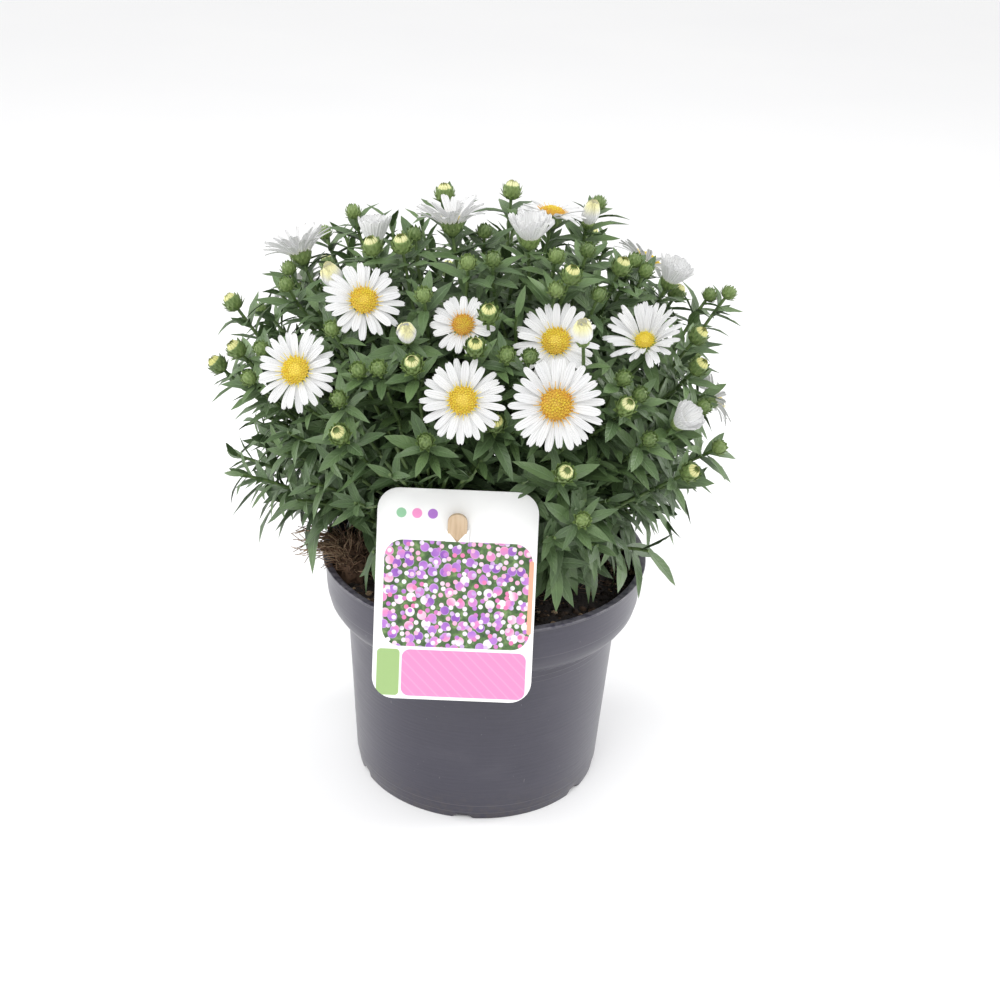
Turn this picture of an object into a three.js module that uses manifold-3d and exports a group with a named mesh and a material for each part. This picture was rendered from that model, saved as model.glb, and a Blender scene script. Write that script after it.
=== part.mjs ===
// A New York aster in bloom in its nursery pot, with a label card held by a wooden stake.
// Millimetres, +Z up, origin at the middle of the pot's base. The card hangs on the -Y side.
import * as THREE from "three";
import { mergeVertices } from "three/addons/utils/BufferGeometryUtils.js";
import Module from "manifold-3d";

const wasm = await Module();
wasm.setup();

// Driving dimensions

// Gap between neighbours that touch in life, and the room that growing pieces keep from each other.
const SEAT_GAP = 0.3;
const TEST_MARGIN = 0.35;
const STEM_HOLE_GAP = 0.5;

const POT = {
  height: 127,
  rimRadius: 85,
  rimWidth: 3.8,
  beadHeight: 1.2,
  collarRadius: 82.8,
  collarDepth: 15,
  shoulderDepth: 34,
  shoulderRadius: 71.5,
  footRadius: 66,
  footHeight: 6,
  baseRadius: 65,
  wall: 1.5,
  floor: 1.8,
  sides: 24,
  notches: 6,
  notchWidth: 8,
  notchHeight: 2.4,
  notchTurn: 25,
};

const SOIL = { level: 116, crown: 120, sides: 12, lump: 1.6 };
const ROOT_TUFT = { x: -66, y: -14, z: 119, radius: 13, fibres: 5, fibreLength: 30 };

const CARD = {
  width: 77,
  above: 69,
  below: 34,
  thickness: 0.8,
  corner: 10.5,
  middle: -13.2,
  leanDeg: 18.5,
  slotTop: 49.4,
  slotLow: 40.6,
  slotPoint: 37.2,
  slotWidth: 10.8,
};
const STAKE = { width: 9.4, thickness: 1.6, foot: 76, top: 184, footReach: 65.5, topReach: 72.6 };

// The crown of the plant is an ellipsoid that the flower heads lie on.
const CROWN = {
  middle: new THREE.Vector3(-9, 5, 195),
  reach: new THREE.Vector3(130, 108, 118),
};

// Main stems stand in rings, and fork at the given radius and height.
const STEM_RINGS = [
  { count: 6, turnDeg: 8, footRadius: 23.4, forkRadius: 66, forkHeight: 176, low: true },
  { count: 5, turnDeg: 18, footRadius: 12.6, forkRadius: 43, forkHeight: 216, low: false },
  { count: 1, turnDeg: 0, footRadius: 2.7, forkRadius: 6, forkHeight: 232, low: false },
];
const STEM = { footDepth: 24, radius: 2, sides: 5, steps: 4 };
const BRANCH = { radius: 1.1, sides: 4, steps: 2 };
// A leaf is a thin blade, broadest at a share of its length, that runs to a point.
const LEAF = { thickness: 0.8, broadest: 0.4, farthest: 1.05, tipAboveRim: 5, bladeAboveRim: 3 };
const LEAF_FOOT = { clear: 1.2, width: 1.2 };
const UPPER_LEAF = { length: 33, width: 8, riseDeg: 34, arch: 0.3 };
const LOWER_LEAF = { length: 46, width: 12.5, riseDeg: 20, arch: 0.45 };
// Whorls stand at these shares of a branch: one round on every branch, one on every third.
const UPPER_WHORLS = [
  [0.8, 0.68, 0.74],
  [0.45, 0.35, 0.55],
];
const SHOOT_WHORLS = [0.93, 0.6];
const MAIN_WHORL = 0.36;
const SHOOT = { from: 0.42, fromStep: 0.1, reach: 84, height: 152, step: 16, spreadDeg: 26 };
const OWN_OVERLAP = 0.01;
const RAY = { thickness: 0.8, openCount: 16, cupCount: 12, budCount: 8, upperLength: 0.92, cupLength: 11 };
const RAY_BREADTH = { open: 2.7, cup: 2.2 };
const LAYER_RISE = { open: 12, cup: 10 };
const DISC = { share: 0.19, rise: 0.5, sides: 8, knob: 0.07 };
const BRACT_CUP = { radius: 5.4, least: 3.2, share: 0.2, depth: 0.7, foot: 0.85, below: 1.3 };
const BUD = { belly: 0.8, shoulder: 1.6, shoulderWidth: 0.72, tip: 1.9 };

// The view in which the heads were measured: a camera place, its aim, and a picture 1000 points wide.
const VIEW = {
  eye: new THREE.Vector3(0, -779.4, 550),
  aim: new THREE.Vector3(7, 0, 155.5),
  focal: 1682,
  middle: 500,
  rollDeg: 2.65,
};

// Flower heads on the near side: where each is seen in that view, how wide it is in millimetres,
// which way it faces, how steeply its rays rise, and how deep it lies in the crown (1 is its surface).
const OPEN_BLOOMS = [
  { seen: [297, 371], across: 39, faces: [-0.25, -0.8, 0.55], rise: 5, depth: 1 },
  { seen: [363, 302], across: 38, faces: [0.22, -0.7, 0.68], rise: 8, depth: 1 },
  { seen: [463, 326], across: 30, faces: [0, -0.75, 0.66], rise: 8, depth: 0.92 },
  { seen: [556, 343], across: 39, faces: [-0.1, -0.72, 0.69], rise: 8, depth: 0.93 },
  { seen: [556, 405], across: 44, faces: [0.05, -0.88, 0.47], rise: 3, depth: 1.04 },
  { seen: [463, 401], across: 39, faces: [-0.05, -0.85, 0.53], rise: 5, depth: 0.98 },
  { seen: [645, 342], across: 36, faces: [-0.15, -0.55, 0.82], rise: 22, depth: 1 },
  { seen: [300, 252], across: 35, faces: [-0.35, 0.2, 0.92], rise: 14, depth: 1 },
  { seen: [452, 222], across: 34, faces: [-0.1, 0.12, 0.99], rise: 14, depth: 1 },
  { seen: [552, 215], across: 34, faces: [0.1, 0.05, 0.99], rise: 8, depth: 1 },
];
const HALF_OPEN_BLOOMS = [
  { seen: [375, 240], across: 20, faces: [-0.1, 0.1, 1], rise: 58, depth: 0.97 },
  { seen: [530, 237], across: 25, faces: [0, -0.1, 1], rise: 48, depth: 1.03 },
  { seen: [670, 280], across: 22, faces: [0.35, -0.1, 0.93], rise: 52, depth: 1 },
  { seen: [679, 423], across: 18, faces: [0.5, -0.5, 0.7], rise: 58, depth: 1 },
  { seen: [583, 340], across: 13, faces: [-0.1, -0.5, 0.85], rise: 74, depth: 1.12 },
  { seen: [407, 338], across: 11, faces: [0, -0.7, 0.7], rise: 74, depth: 1 },
  { seen: [588, 222], across: 12, faces: [0.15, -0.3, 0.95], rise: 74, depth: 1 },
  { seen: [336, 284], across: 13, faces: [-0.3, -0.4, 0.85], rise: 74, depth: 1 },
];
const YELLOW_TIPPED_BUDS = [
  [445, 202], [511, 199], [238, 309], [242, 355], [224, 370], [343, 438], [414, 370],
  [497, 414], [374, 254], [403, 252], [488, 320], [475, 353], [562, 476], [622, 411],
  [684, 475], [693, 342], [618, 274], [693, 372], [565, 295],
];
const GREEN_BUDS = [
  [355, 218], [415, 240], [468, 268], [493, 265], [485, 220], [555, 262], [597, 209],
  [586, 256], [632, 266], [643, 276], [725, 298], [706, 300], [621, 382], [637, 398],
  [699, 410], [714, 450], [646, 442], [287, 265], [289, 290], [265, 353], [253, 382],
  [334, 333], [360, 374], [341, 402], [380, 372], [424, 300], [425, 440], [506, 359],
  [529, 361], [555, 295], [597, 300], [580, 521],
];
const YELLOW_BUD_RADIUS = 5.2;
const GREEN_BUD_RADIUS = 4.2;

// The far side isn't seen, so its heads follow a golden-ratio rule.
const GOLDEN_SHARE = 0.618;
const FAR_SIDE = { blooms: 6, buds: 15, fromDeg: 15, sweepDeg: 150, lowest: 0.02, highest: 0.72 };

const GREEN = new THREE.MeshStandardMaterial({ color: 0x41682f, roughness: 0.55, metalness: 0 });
const WHITE = new THREE.MeshStandardMaterial({ color: 0xf6f6f2, roughness: 0.6, metalness: 0 });
const YELLOW = new THREE.MeshStandardMaterial({ color: 0xeebb1c, roughness: 0.7, metalness: 0 });
const POT_PLASTIC = new THREE.MeshStandardMaterial({ color: 0x4a4a52, roughness: 0.5, metalness: 0 });
const PEAT = new THREE.MeshStandardMaterial({ color: 0x2a1f18, roughness: 0.95, metalness: 0 });
const CARD_PLASTIC = new THREE.MeshStandardMaterial({ color: 0xf2f0f1, roughness: 0.35, metalness: 0 });
const WOOD = new THREE.MeshStandardMaterial({ color: 0xd6bd9e, roughness: 0.75, metalness: 0 });

// Small tools

const UP = new THREE.Vector3(0, 0, 1);
const degrees = (value) => (value * Math.PI) / 180;

// A repeatable stream of numbers between 0 and 1.
function draws(seed) {
  let state = seed >>> 0;
  return () => {
    state = (Math.imul(state, 1664525) + 1013904223) >>> 0;
    return state / 4294967296;
  };
}

// A closed geometry as a solid that can be joined and cut.
function solid(geometry) {
  const bare = geometry.clone();
  bare.deleteAttribute("normal");
  bare.deleteAttribute("uv");
  const merged = mergeVertices(bare, 1e-4);
  const corners = merged.index.array;
  const kept = [];
  for (let i = 0; i < corners.length; i += 3) {
    const [a, b, c] = corners.slice(i, i + 3);
    if (a !== b && b !== c && c !== a) kept.push(a, b, c);
  }
  const vertProperties = merged.attributes.position.array;
  return new wasm.Manifold(new wasm.Mesh({ numProp: 3, vertProperties, triVerts: Uint32Array.from(kept) }));
}

function meshOf(name, made, material) {
  const { numProp, numVert, vertProperties, triVerts } = made.getMesh();
  const positions = new Float32Array(numVert * 3);
  for (let i = 0; i < numVert; i++) {
    positions.set(vertProperties.subarray(i * numProp, i * numProp + 3), i * 3);
  }
  const geometry = new THREE.BufferGeometry();
  geometry.setAttribute("position", new THREE.BufferAttribute(positions, 3));
  geometry.setIndex(new THREE.BufferAttribute(triVerts, 1));
  const mesh = new THREE.Mesh(geometry, material);
  mesh.name = name;
  return mesh;
}

const joined = (solids) => wasm.Manifold.union(solids);

// A lathe turned about +Z.
function turned(profile, sides) {
  const points = profile.map(([radius, height]) => new THREE.Vector2(radius, height));
  return new THREE.LatheGeometry(points, sides).rotateX(Math.PI / 2);
}

// Stands a shape made along +Z on a point, along an axis, turned about it.
function stand(geometry, point, axis, turn = 0) {
  const toAxis = new THREE.Quaternion().setFromUnitVectors(UP, axis);
  return geometry.rotateZ(turn).applyQuaternion(toAxis).translate(point.x, point.y, point.z);
}

function tube(curve, radius, sides, steps) {
  const section = new THREE.Shape();
  for (let i = 0; i < sides; i++) {
    const angle = (i / sides) * 2 * Math.PI;
    const corner = [radius * Math.cos(angle), radius * Math.sin(angle)];
    if (i === 0) section.moveTo(...corner);
    else section.lineTo(...corner);
  }
  return new THREE.ExtrudeGeometry(section, { extrudePath: curve, steps, bevelEnabled: false });
}

// A closed stalk through rings, each a place, an axis and a radius. A last ring of no radius is a tip.
// A ring may hold leaves, one slot for each side, which grow out of the stretch above it.
function stalk(rings, sides) {
  const points = [];
  const faces = [];
  const put = (point) => points.push(point) - 1;
  const corners = rings.map(({ place, axis, radius }) => {
    if (!radius) return Array(sides).fill(put(place));
    const { radialAt } = frameOf(axis);
    return Array.from({ length: sides }, (_, j) => {
      return put(place.clone().addScaledVector(radialAt((j / sides) * 2 * Math.PI), radius));
    });
  });
  for (let k = 0; k + 1 < rings.length; k++) {
    for (let j = 0; j < sides; j++) {
      const next = (j + 1) % sides;
      const [a, b, c, d] = [corners[k][j], corners[k][next], corners[k + 1][next], corners[k + 1][j]];
      const leaf = rings[k].leaves?.[j];
      if (!leaf) {
        faces.push(a, b, c, a, c, d);
        continue;
      }
      const [A, B, C, D] = leaf.broad.map(put);
      const tip = put(leaf.tip);
      faces.push(a, b, B, a, B, A, d, D, C, d, C, c, b, c, C, b, C, B, d, a, A, d, A, D);
      faces.push(A, B, tip, B, C, tip, C, D, tip, D, A, tip);
    }
  }
  for (let j = 1; j + 1 < sides; j++) {
    faces.push(corners[0][0], corners[0][j + 1], corners[0][j]);
    const top = corners.at(-1);
    faces.push(top[0], top[j], top[j + 1]);
  }
  return geometryOf(points, faces);
}

function geometryOf(points, faces) {
  const geometry = new THREE.BufferGeometry().setFromPoints(points);
  return geometry.setIndex(faces);
}

// Directions square to an axis, by turn.
function frameOf(axis) {
  const right = new THREE.Vector3(0.31, 0.17, 0.29).cross(axis).normalize();
  const ahead = axis.clone().cross(right);
  const radialAt = (turn) => {
    return right.clone().multiplyScalar(Math.cos(turn)).addScaledVector(ahead, Math.sin(turn));
  };
  return { radialAt };
}

// The rings of a plain stretch of stem along a line, all parallel, so that its sides are flat.
function stemRings(line, radius, steps) {
  const places = line.getSpacedPoints(steps);
  const axis = places[steps].clone().sub(places[0]).normalize();
  return places.map((place) => ({ place, axis, radius }));
}

// A place on the straight stretches that a stalk of so many steps has.
function onStretch(line, steps, t) {
  const points = line.getSpacedPoints(steps);
  const first = Math.min(steps - 1, Math.floor(t * steps));
  return points[first].clone().lerp(points[first + 1], t * steps - first);
}

// Moves each vertex of a geometry by a rule.
function reshape(geometry, rule) {
  const position = geometry.getAttribute("position");
  const point = new THREE.Vector3();
  for (let i = 0; i < position.count; i++) {
    point.fromBufferAttribute(position, i);
    rule(point);
    position.setXYZ(i, point.x, point.y, point.z);
  }
  return geometry;
}

// Where things lie

// The direction of the sight line through a point of the picture.
function sightLine([across, down]) {
  const forward = VIEW.aim.clone().sub(VIEW.eye).normalize();
  const right = forward.clone().cross(UP).normalize();
  const above = right.clone().cross(forward);
  const roll = degrees(VIEW.rollDeg);
  const u = (across - VIEW.middle) / VIEW.focal;
  const v = (VIEW.middle - down) / VIEW.focal;
  return forward
    .addScaledVector(right, Math.cos(roll) * u - Math.sin(roll) * v)
    .addScaledVector(above, Math.sin(roll) * u + Math.cos(roll) * v)
    .normalize();
}

// Where a sight line meets the crown, or passes nearest to its middle if it misses.
function onCrown(seen, depth) {
  const direction = sightLine(seen);
  const start = VIEW.eye.clone().sub(CROWN.middle).divide(CROWN.reach);
  const run = direction.clone().divide(CROWN.reach);
  const a = run.dot(run);
  const b = start.dot(run);
  const c = start.dot(start) - depth * depth;
  const along = (-b - Math.sqrt(Math.max(0, b * b - a * c))) / a;
  return VIEW.eye.clone().addScaledVector(direction, along);
}

function outwards(point) {
  return point.clone().sub(CROWN.middle).divide(CROWN.reach).divide(CROWN.reach).normalize();
}

// A place on the far side of the crown.
function farPlace(index, count) {
  const share = (index * GOLDEN_SHARE) % 1;
  const turn = degrees(FAR_SIDE.fromDeg + FAR_SIDE.sweepDeg * share);
  const height = FAR_SIDE.lowest + ((FAR_SIDE.highest - FAR_SIDE.lowest) * (index + 0.5)) / count;
  const ring = Math.sqrt(1 - height * height);
  return new THREE.Vector3(ring * Math.cos(turn), ring * Math.sin(turn), height)
    .multiply(CROWN.reach)
    .add(CROWN.middle);
}

// Space that is taken, by node, so that what would cross another node is bent clear.
const taken = [];

function take(node, made) {
  taken.push({ node, made, box: made.boundingBox() });
}

function boxesMeet(a, b) {
  return [0, 1, 2].every((i) => a.min[i] <= b.max[i] && b.min[i] <= a.max[i]);
}

function crossing(made, node) {
  const box = made.boundingBox();
  return taken.find((other) => {
    if (other.node === node || !boxesMeet(box, other.box)) return false;
    return made.intersect(other.made).volume() > 1e-6;
  });
}

// Pot

function potSolid() {
  const p = POT;
  const collar = p.height - p.collarDepth;
  const shoulder = p.height - p.shoulderDepth;
  const outside = [
    [0, 0],
    [p.baseRadius, 0],
    [p.footRadius, p.footHeight],
    [p.shoulderRadius, shoulder],
    [p.shoulderRadius + 7, shoulder + 5],
    [p.collarRadius - 0.8, collar - 6],
    [p.collarRadius, collar],
    [p.collarRadius + 0.6, p.height - p.beadHeight - 0.4],
    [p.rimRadius, p.height - p.beadHeight],
    [p.rimRadius, p.height],
  ];
  const inside = [
    [p.rimRadius - p.rimWidth, p.height],
    [p.collarRadius - p.wall - 0.4, collar],
    [p.shoulderRadius + 5.4, shoulder + 6.4],
    [p.shoulderRadius - p.wall, shoulder - 0.6],
    [p.footRadius - p.wall, p.floor],
    [0, p.floor],
  ];
  let pot = solid(turned([...outside, ...inside], p.sides));
  const notch = () => new THREE.BoxGeometry(8, p.notchWidth, p.notchHeight * 2);
  for (let i = 0; i < p.notches; i++) {
    const turn = degrees(p.notchTurn) + (i / p.notches) * 2 * Math.PI;
    pot = pot.subtract(solid(notch().translate(p.baseRadius + 1, 0, 0).rotateZ(turn)));
  }
  return pot;
}

// Soil, with the tuft of dry roots that stands up at its left edge

function soilBody() {
  const p = POT;
  const gap = SEAT_GAP;
  const collar = p.height - p.collarDepth;
  const shoulder = p.height - p.shoulderDepth;
  const edge = p.collarRadius - p.wall - 0.4 - gap;
  const profile = [
    [0, p.floor + gap],
    [p.footRadius - p.wall - gap, p.floor + gap],
    [p.shoulderRadius - p.wall - gap, shoulder - 0.6 + gap],
    [p.shoulderRadius + 5.4 - gap * 1.5, shoulder + 6.4 + gap],
    [edge, collar],
    [edge, SOIL.level - 2],
    [edge * 0.8, SOIL.level + 1],
    [edge * 0.55, SOIL.level + 2.5],
    [edge * 0.3, SOIL.crown],
    [0, SOIL.crown],
  ];
  const lumpy = reshape(turned(profile, SOIL.sides), (point) => {
    const ring = Math.hypot(point.x, point.y);
    const isTop = point.z > SOIL.level && ring > 1;
    if (isTop) point.z += SOIL.lump * Math.sin(point.x * 0.21 + 1) * Math.cos(point.y * 0.17);
  });
  return solid(lumpy);
}

function rootTuft() {
  const t = ROOT_TUFT;
  const draw = draws(77);
  const middle = new THREE.Vector3(t.x, t.y, t.z);
  const lump = reshape(new THREE.IcosahedronGeometry(1, 1), (point) => {
    const knobbly = 1 + 0.12 * Math.sin(point.x * 7 + point.y * 5) * Math.cos(point.z * 6);
    point.multiply(new THREE.Vector3(0.75, 1.15, 0.9)).multiplyScalar(t.radius * knobbly).add(middle);
  });
  const parts = [solid(lump)];
  for (let i = 0; i < t.fibres; i++) {
    const turn = degrees(150 + i * 24);
    const away = new THREE.Vector3(Math.cos(turn), Math.sin(turn), 0.2 + 0.5 * draw());
    const start = middle.clone().add(new THREE.Vector3(0, 0, 5));
    const middlePoint = start.clone().addScaledVector(away, t.fibreLength * 0.6);
    middlePoint.z += 8;
    const end = start.clone().addScaledVector(away, t.fibreLength * (0.8 + 0.3 * draw()));
    end.z = Math.max(end.z, POT.height + 4);
    parts.push(solid(tube(new THREE.QuadraticBezierCurve3(start, middlePoint, end), 0.7, 3, 3)));
  }
  return joined(parts);
}

// Label card and the flat wooden stake that holds it

function onCard(height) {
  const lean = degrees(CARD.leanDeg);
  return { y: -POT.rimRadius - 0.9 + height * Math.sin(lean), z: POT.height + height * Math.cos(lean) };
}

function cardSolid() {
  const { width, above, below, corner, thickness } = CARD;
  const right = width / 2;
  const outline = new THREE.Shape();
  outline.moveTo(-right + corner, -below);
  outline.lineTo(right - corner, -below);
  outline.absarc(right - corner, -below + corner, corner, -Math.PI / 2, 0);
  outline.absarc(right - corner, above - corner, corner, 0, Math.PI / 2);
  outline.absarc(-right + corner, above - corner, corner, Math.PI / 2, Math.PI);
  outline.absarc(-right + corner, -below + corner, corner, Math.PI, 1.5 * Math.PI);
  const slot = new THREE.Path();
  const half = CARD.slotWidth / 2;
  slot.moveTo(-half, CARD.slotTop);
  slot.lineTo(-half, CARD.slotLow);
  slot.lineTo(0, CARD.slotPoint);
  slot.lineTo(half, CARD.slotLow);
  slot.lineTo(half, CARD.slotTop);
  outline.holes.push(slot);
  const sheet = { depth: thickness, bevelEnabled: false, curveSegments: 4 };
  const card = new THREE.ExtrudeGeometry(outline, sheet);
  card.translate(0, 0, -thickness / 2).rotateX(Math.PI / 2 - degrees(CARD.leanDeg));
  const rim = onCard(0);
  return solid(card.translate(CARD.middle, rim.y, rim.z));
}

function stakeSolid(grow) {
  const { width, thickness, foot, top, footReach, topReach } = STAKE;
  const length = Math.hypot(top - foot, topReach - footReach);
  const half = width / 2 + grow;
  const outline = new THREE.Shape();
  outline.moveTo(-half, 6);
  outline.lineTo(0, -grow);
  outline.lineTo(half, 6);
  outline.lineTo(half, length - width / 2);
  outline.absarc(0, length - width / 2, half, 0, Math.PI);
  const depth = thickness + 2 * grow;
  const strip = new THREE.ExtrudeGeometry(outline, { depth, bevelEnabled: false, curveSegments: 6 });
  const lean = Math.atan2(topReach - footReach, top - foot);
  strip.translate(0, 0, -depth / 2).rotateX(Math.PI / 2 + lean);
  return solid(strip.translate(CARD.middle, -footReach, foot));
}

// The space in front of the card, up to the sight line over its top edge, stays free of leaves.
function spaceBeforeCard() {
  const top = onCard(CARD.above);
  const bottom = onCard(-CARD.below);
  const outline = new THREE.Shape();
  outline.moveTo(top.y + 1.5, top.z + 1.5);
  outline.lineTo(top.y - 70, top.z + 40);
  outline.lineTo(bottom.y - 40, bottom.z);
  outline.lineTo(bottom.y + 1.5, bottom.z);
  const space = new THREE.ExtrudeGeometry(outline, { depth: CARD.width, bevelEnabled: false });
  // The outline lies in Y and Z, so its normal is turned to X.
  space.rotateX(Math.PI / 2).rotateZ(Math.PI / 2);
  return solid(space.translate(CARD.middle - CARD.width / 2, 0, 0));
}

// Leaves, buds and blooms

// The corners of a blade that leaves a root along a radial direction, rises and arches down again.
function blade({ place, axis, radial }, { width, riseDeg, arch }, length, grow = 0) {
  const side = axis.clone().cross(radial);
  const rise = degrees(riseDeg);
  const at = (run) => {
    const angle = rise - 2 * arch * (run / length);
    const flat = run * Math.cos(rise);
    const high = run * Math.sin(rise) - (arch * run * run) / length;
    const centre = place.clone().addScaledVector(radial, flat).addScaledVector(axis, high);
    const normal = axis.clone().multiplyScalar(Math.cos(angle)).addScaledVector(radial, -Math.sin(angle));
    return { centre, normal };
  };
  const { centre, normal } = at(length * LEAF.broadest);
  const corner = (across, over) => {
    const moved = centre.clone().addScaledVector(side, across * (width / 2 + grow));
    return moved.addScaledVector(normal, over * (LEAF.thickness / 2 + grow));
  };
  const broad = [corner(-1, -1), corner(1, -1), corner(1, 1), corner(-1, 1)];
  return { broad, tip: at(length + grow).centre };
}

// The same blade as a solid of its own, a little clear of its root, to test what it would meet.
function bladeSolid(root, size, length, grow) {
  const { broad, tip } = blade(root, size, length, grow);
  const side = root.axis.clone().cross(root.radial);
  const start = root.place.clone().addScaledVector(root.radial, LEAF_FOOT.clear);
  const corner = (across, over) => {
    const moved = start.clone().addScaledVector(side, (across * LEAF_FOOT.width) / 2);
    return moved.addScaledVector(root.axis, (over * LEAF.thickness) / 2);
  };
  const points = [corner(-1, -1), corner(1, -1), corner(1, 1), corner(-1, 1), ...broad, tip];
  const walls = [0, 1, 5, 0, 5, 4, 3, 7, 6, 3, 6, 2, 1, 2, 6, 1, 6, 5, 3, 0, 4, 3, 4, 7];
  const ends = [0, 2, 1, 0, 3, 2, 4, 5, 8, 5, 6, 8, 6, 7, 8, 7, 4, 8];
  return solid(geometryOf(points, [...walls, ...ends]));
}

// The rays as one thin star: odd rays lie lower and even rays rise above them, as two layers.
function rayStar({ rays, hub, reach, breadth, rise, layerRise, draw }) {
  const outline = new THREE.Shape();
  const pitch = (2 * Math.PI) / rays;
  for (let i = 0; i < rays; i++) {
    const isUpper = i % 2;
    const long = reach * (isUpper ? RAY.upperLength : 1) * (0.95 + 0.1 * draw());
    const tip = breadth / 2 / long;
    const middle = (i + 0.5) * pitch;
    const corners = [
      [hub, i * pitch],
      [long, middle - tip],
      [long, middle + tip],
    ];
    corners.forEach(([radius, angle], k) => {
      const place = [radius * Math.cos(angle), radius * Math.sin(angle)];
      if (i === 0 && k === 0) outline.moveTo(...place);
      else outline.lineTo(...place);
    });
  }
  const flat = new THREE.ExtrudeGeometry(outline, { depth: RAY.thickness, bevelEnabled: false });
  return reshape(flat, (point) => {
    const radius = Math.hypot(point.x, point.y);
    const turn = (Math.atan2(point.y, point.x) + 2 * Math.PI) % (2 * Math.PI);
    const run = radius - hub;
    if (run < 1e-3) return;
    const angle = degrees(rise + (Math.floor(turn / pitch) % 2) * layerRise);
    const newRadius = hub + run * Math.cos(angle) - point.z * Math.sin(angle);
    const height = run * Math.sin(angle) + point.z * Math.cos(angle);
    point.multiplyScalar(newRadius / radius);
    point.z = height;
  });
}

function openRays({ across, rise, seed }) {
  const hub = across * DISC.share;
  const reach = hub + (across / 2 - hub) / Math.cos(degrees(rise));
  const rays = RAY.openCount;
  const breadth = (across / rays) * RAY_BREADTH.open;
  return rayStar({ rays, hub, reach, breadth, rise, layerRise: LAYER_RISE.open, draw: draws(seed) });
}

// A half-open head holds its rays up in a cup, and one that has just split its bud has fewer.
function cupRays({ across, rise, seed }) {
  const hub = across * BRACT_CUP.share;
  const reach = hub + Math.min(RAY.cupLength, (across / 2 - hub) / Math.cos(degrees(rise)));
  const rays = across > 15 ? RAY.cupCount : RAY.budCount;
  const breadth = (across / rays) * RAY_BREADTH.cup;
  return rayStar({ rays, hub, reach, breadth, rise, layerRise: LAYER_RISE.cup, draw: draws(seed) });
}

// The disc of florets is a low dome with a knobbly surface.
function discOf(radius) {
  const height = radius * DISC.rise;
  const profile = [
    [0, 0],
    [radius * 0.9, 0],
    [radius, height * 0.45],
    [radius * 0.6, height * 0.9],
    [0, height],
  ];
  return reshape(turned(profile, DISC.sides), (point) => {
    const turn = Math.atan2(point.y, point.x);
    const knob = point.z > 0.1 ? DISC.knob * Math.cos((DISC.sides / 2) * turn) : 0;
    point.multiplyScalar(1 + knob);
  });
}

// A bud swells from the end of its branch, and a bloom sits in a green cup of bracts.
function headRings({ kind, size, cupRadius }, place, axis) {
  const ring = (height, radius) => ({ place: place.clone().addScaledVector(axis, height), axis, radius });
  if (kind === "bud") {
    const { belly, shoulder, shoulderWidth, tip } = BUD;
    return [ring(size * belly, size), ring(size * shoulder, size * shoulderWidth), ring(size * tip, 0)];
  }
  const { depth, foot } = BRACT_CUP;
  return [ring(-cupRadius * depth, cupRadius * foot), ring(-SEAT_GAP, cupRadius)];
}

// The list of heads, near and far

function headList() {
  const heads = [];
  const add = (kind, place, faces, size, extra = {}) => {
    heads.push({ kind, place, faces: faces.clone().normalize(), size, ...extra });
  };
  for (const [kind, list] of [["open", OPEN_BLOOMS], ["cup", HALF_OPEN_BLOOMS]]) {
    for (const bloom of list) {
      const place = onCrown(bloom.seen, bloom.depth);
      add(kind, place, new THREE.Vector3(...bloom.faces), bloom.across, { rise: bloom.rise });
    }
  }
  for (let i = 0; i < FAR_SIDE.blooms; i++) {
    const place = farPlace(i, FAR_SIDE.blooms);
    const faces = outwards(place).addScaledVector(UP, 0.35);
    add("open", place, faces, 34 + 2 * (i % 3), { rise: 6 });
  }
  const budFaces = (place) => outwards(place).addScaledVector(UP, 0.7);
  for (const [list, radius] of [[YELLOW_TIPPED_BUDS, YELLOW_BUD_RADIUS], [GREEN_BUDS, GREEN_BUD_RADIUS]]) {
    for (const seen of list) {
      const place = onCrown(seen, 1);
      add("bud", place, budFaces(place), radius);
    }
  }
  for (let i = 0; i < FAR_SIDE.buds; i++) {
    const place = farPlace(i + 0.37, FAR_SIDE.buds + 0.37);
    add("bud", place, budFaces(place), i % 2 ? YELLOW_BUD_RADIUS : GREEN_BUD_RADIUS);
  }
  return heads;
}

// Leafy stems

function stemList() {
  const stems = [];
  for (const ring of STEM_RINGS) {
    for (let i = 0; i < ring.count; i++) {
      const turn = degrees(ring.turnDeg) + (i / ring.count) * 2 * Math.PI;
      const out = new THREE.Vector3(Math.cos(turn), Math.sin(turn), 0);
      const foot = out.clone().multiplyScalar(ring.footRadius).setZ(SOIL.crown - STEM.footDepth);
      const fork = out.clone().multiplyScalar(ring.forkRadius).setZ(ring.forkHeight);
      const low = foot.clone().addScaledVector(UP, 40).addScaledVector(out, 3);
      const high = fork.clone().addScaledVector(UP, -16).addScaledVector(out, -10);
      const line = new THREE.CubicBezierCurve3(foot, low, high, fork);
      const name = `leafy_stem_${stems.length + 1}`;
      stems.push({ name, line, fork, out, low: ring.low, branches: [], own: [] });
    }
  }
  return stems;
}

const branchLine = (from, to, arrive, swing) => {
  const length = from.distanceTo(to);
  const start = to.clone().sub(from).normalize().addScaledVector(UP, -0.15).add(swing);
  const leave = from.clone().addScaledVector(start, length * 0.35);
  const reach = to.clone().addScaledVector(arrive, -length * 0.35);
  return new THREE.CubicBezierCurve3(from, leave, reach, to);
};

// Keeps the room that a piece of a stem takes, with the stalk that carries it.
function keepRoom(stem, made, carrier) {
  stem.own.push({ made, carrier, box: made.boundingBox() });
  take(stem.name, made);
}

// A piece may meet only its own carrier among the pieces of its stem.
function crossesOwn(stem, made, carrier) {
  const box = made.boundingBox();
  return stem.own.some((other) => {
    if (other.carrier === carrier || !boxesMeet(box, other.box)) return false;
    return made.intersect(other.made).volume() > OWN_OVERLAP;
  });
}

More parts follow.
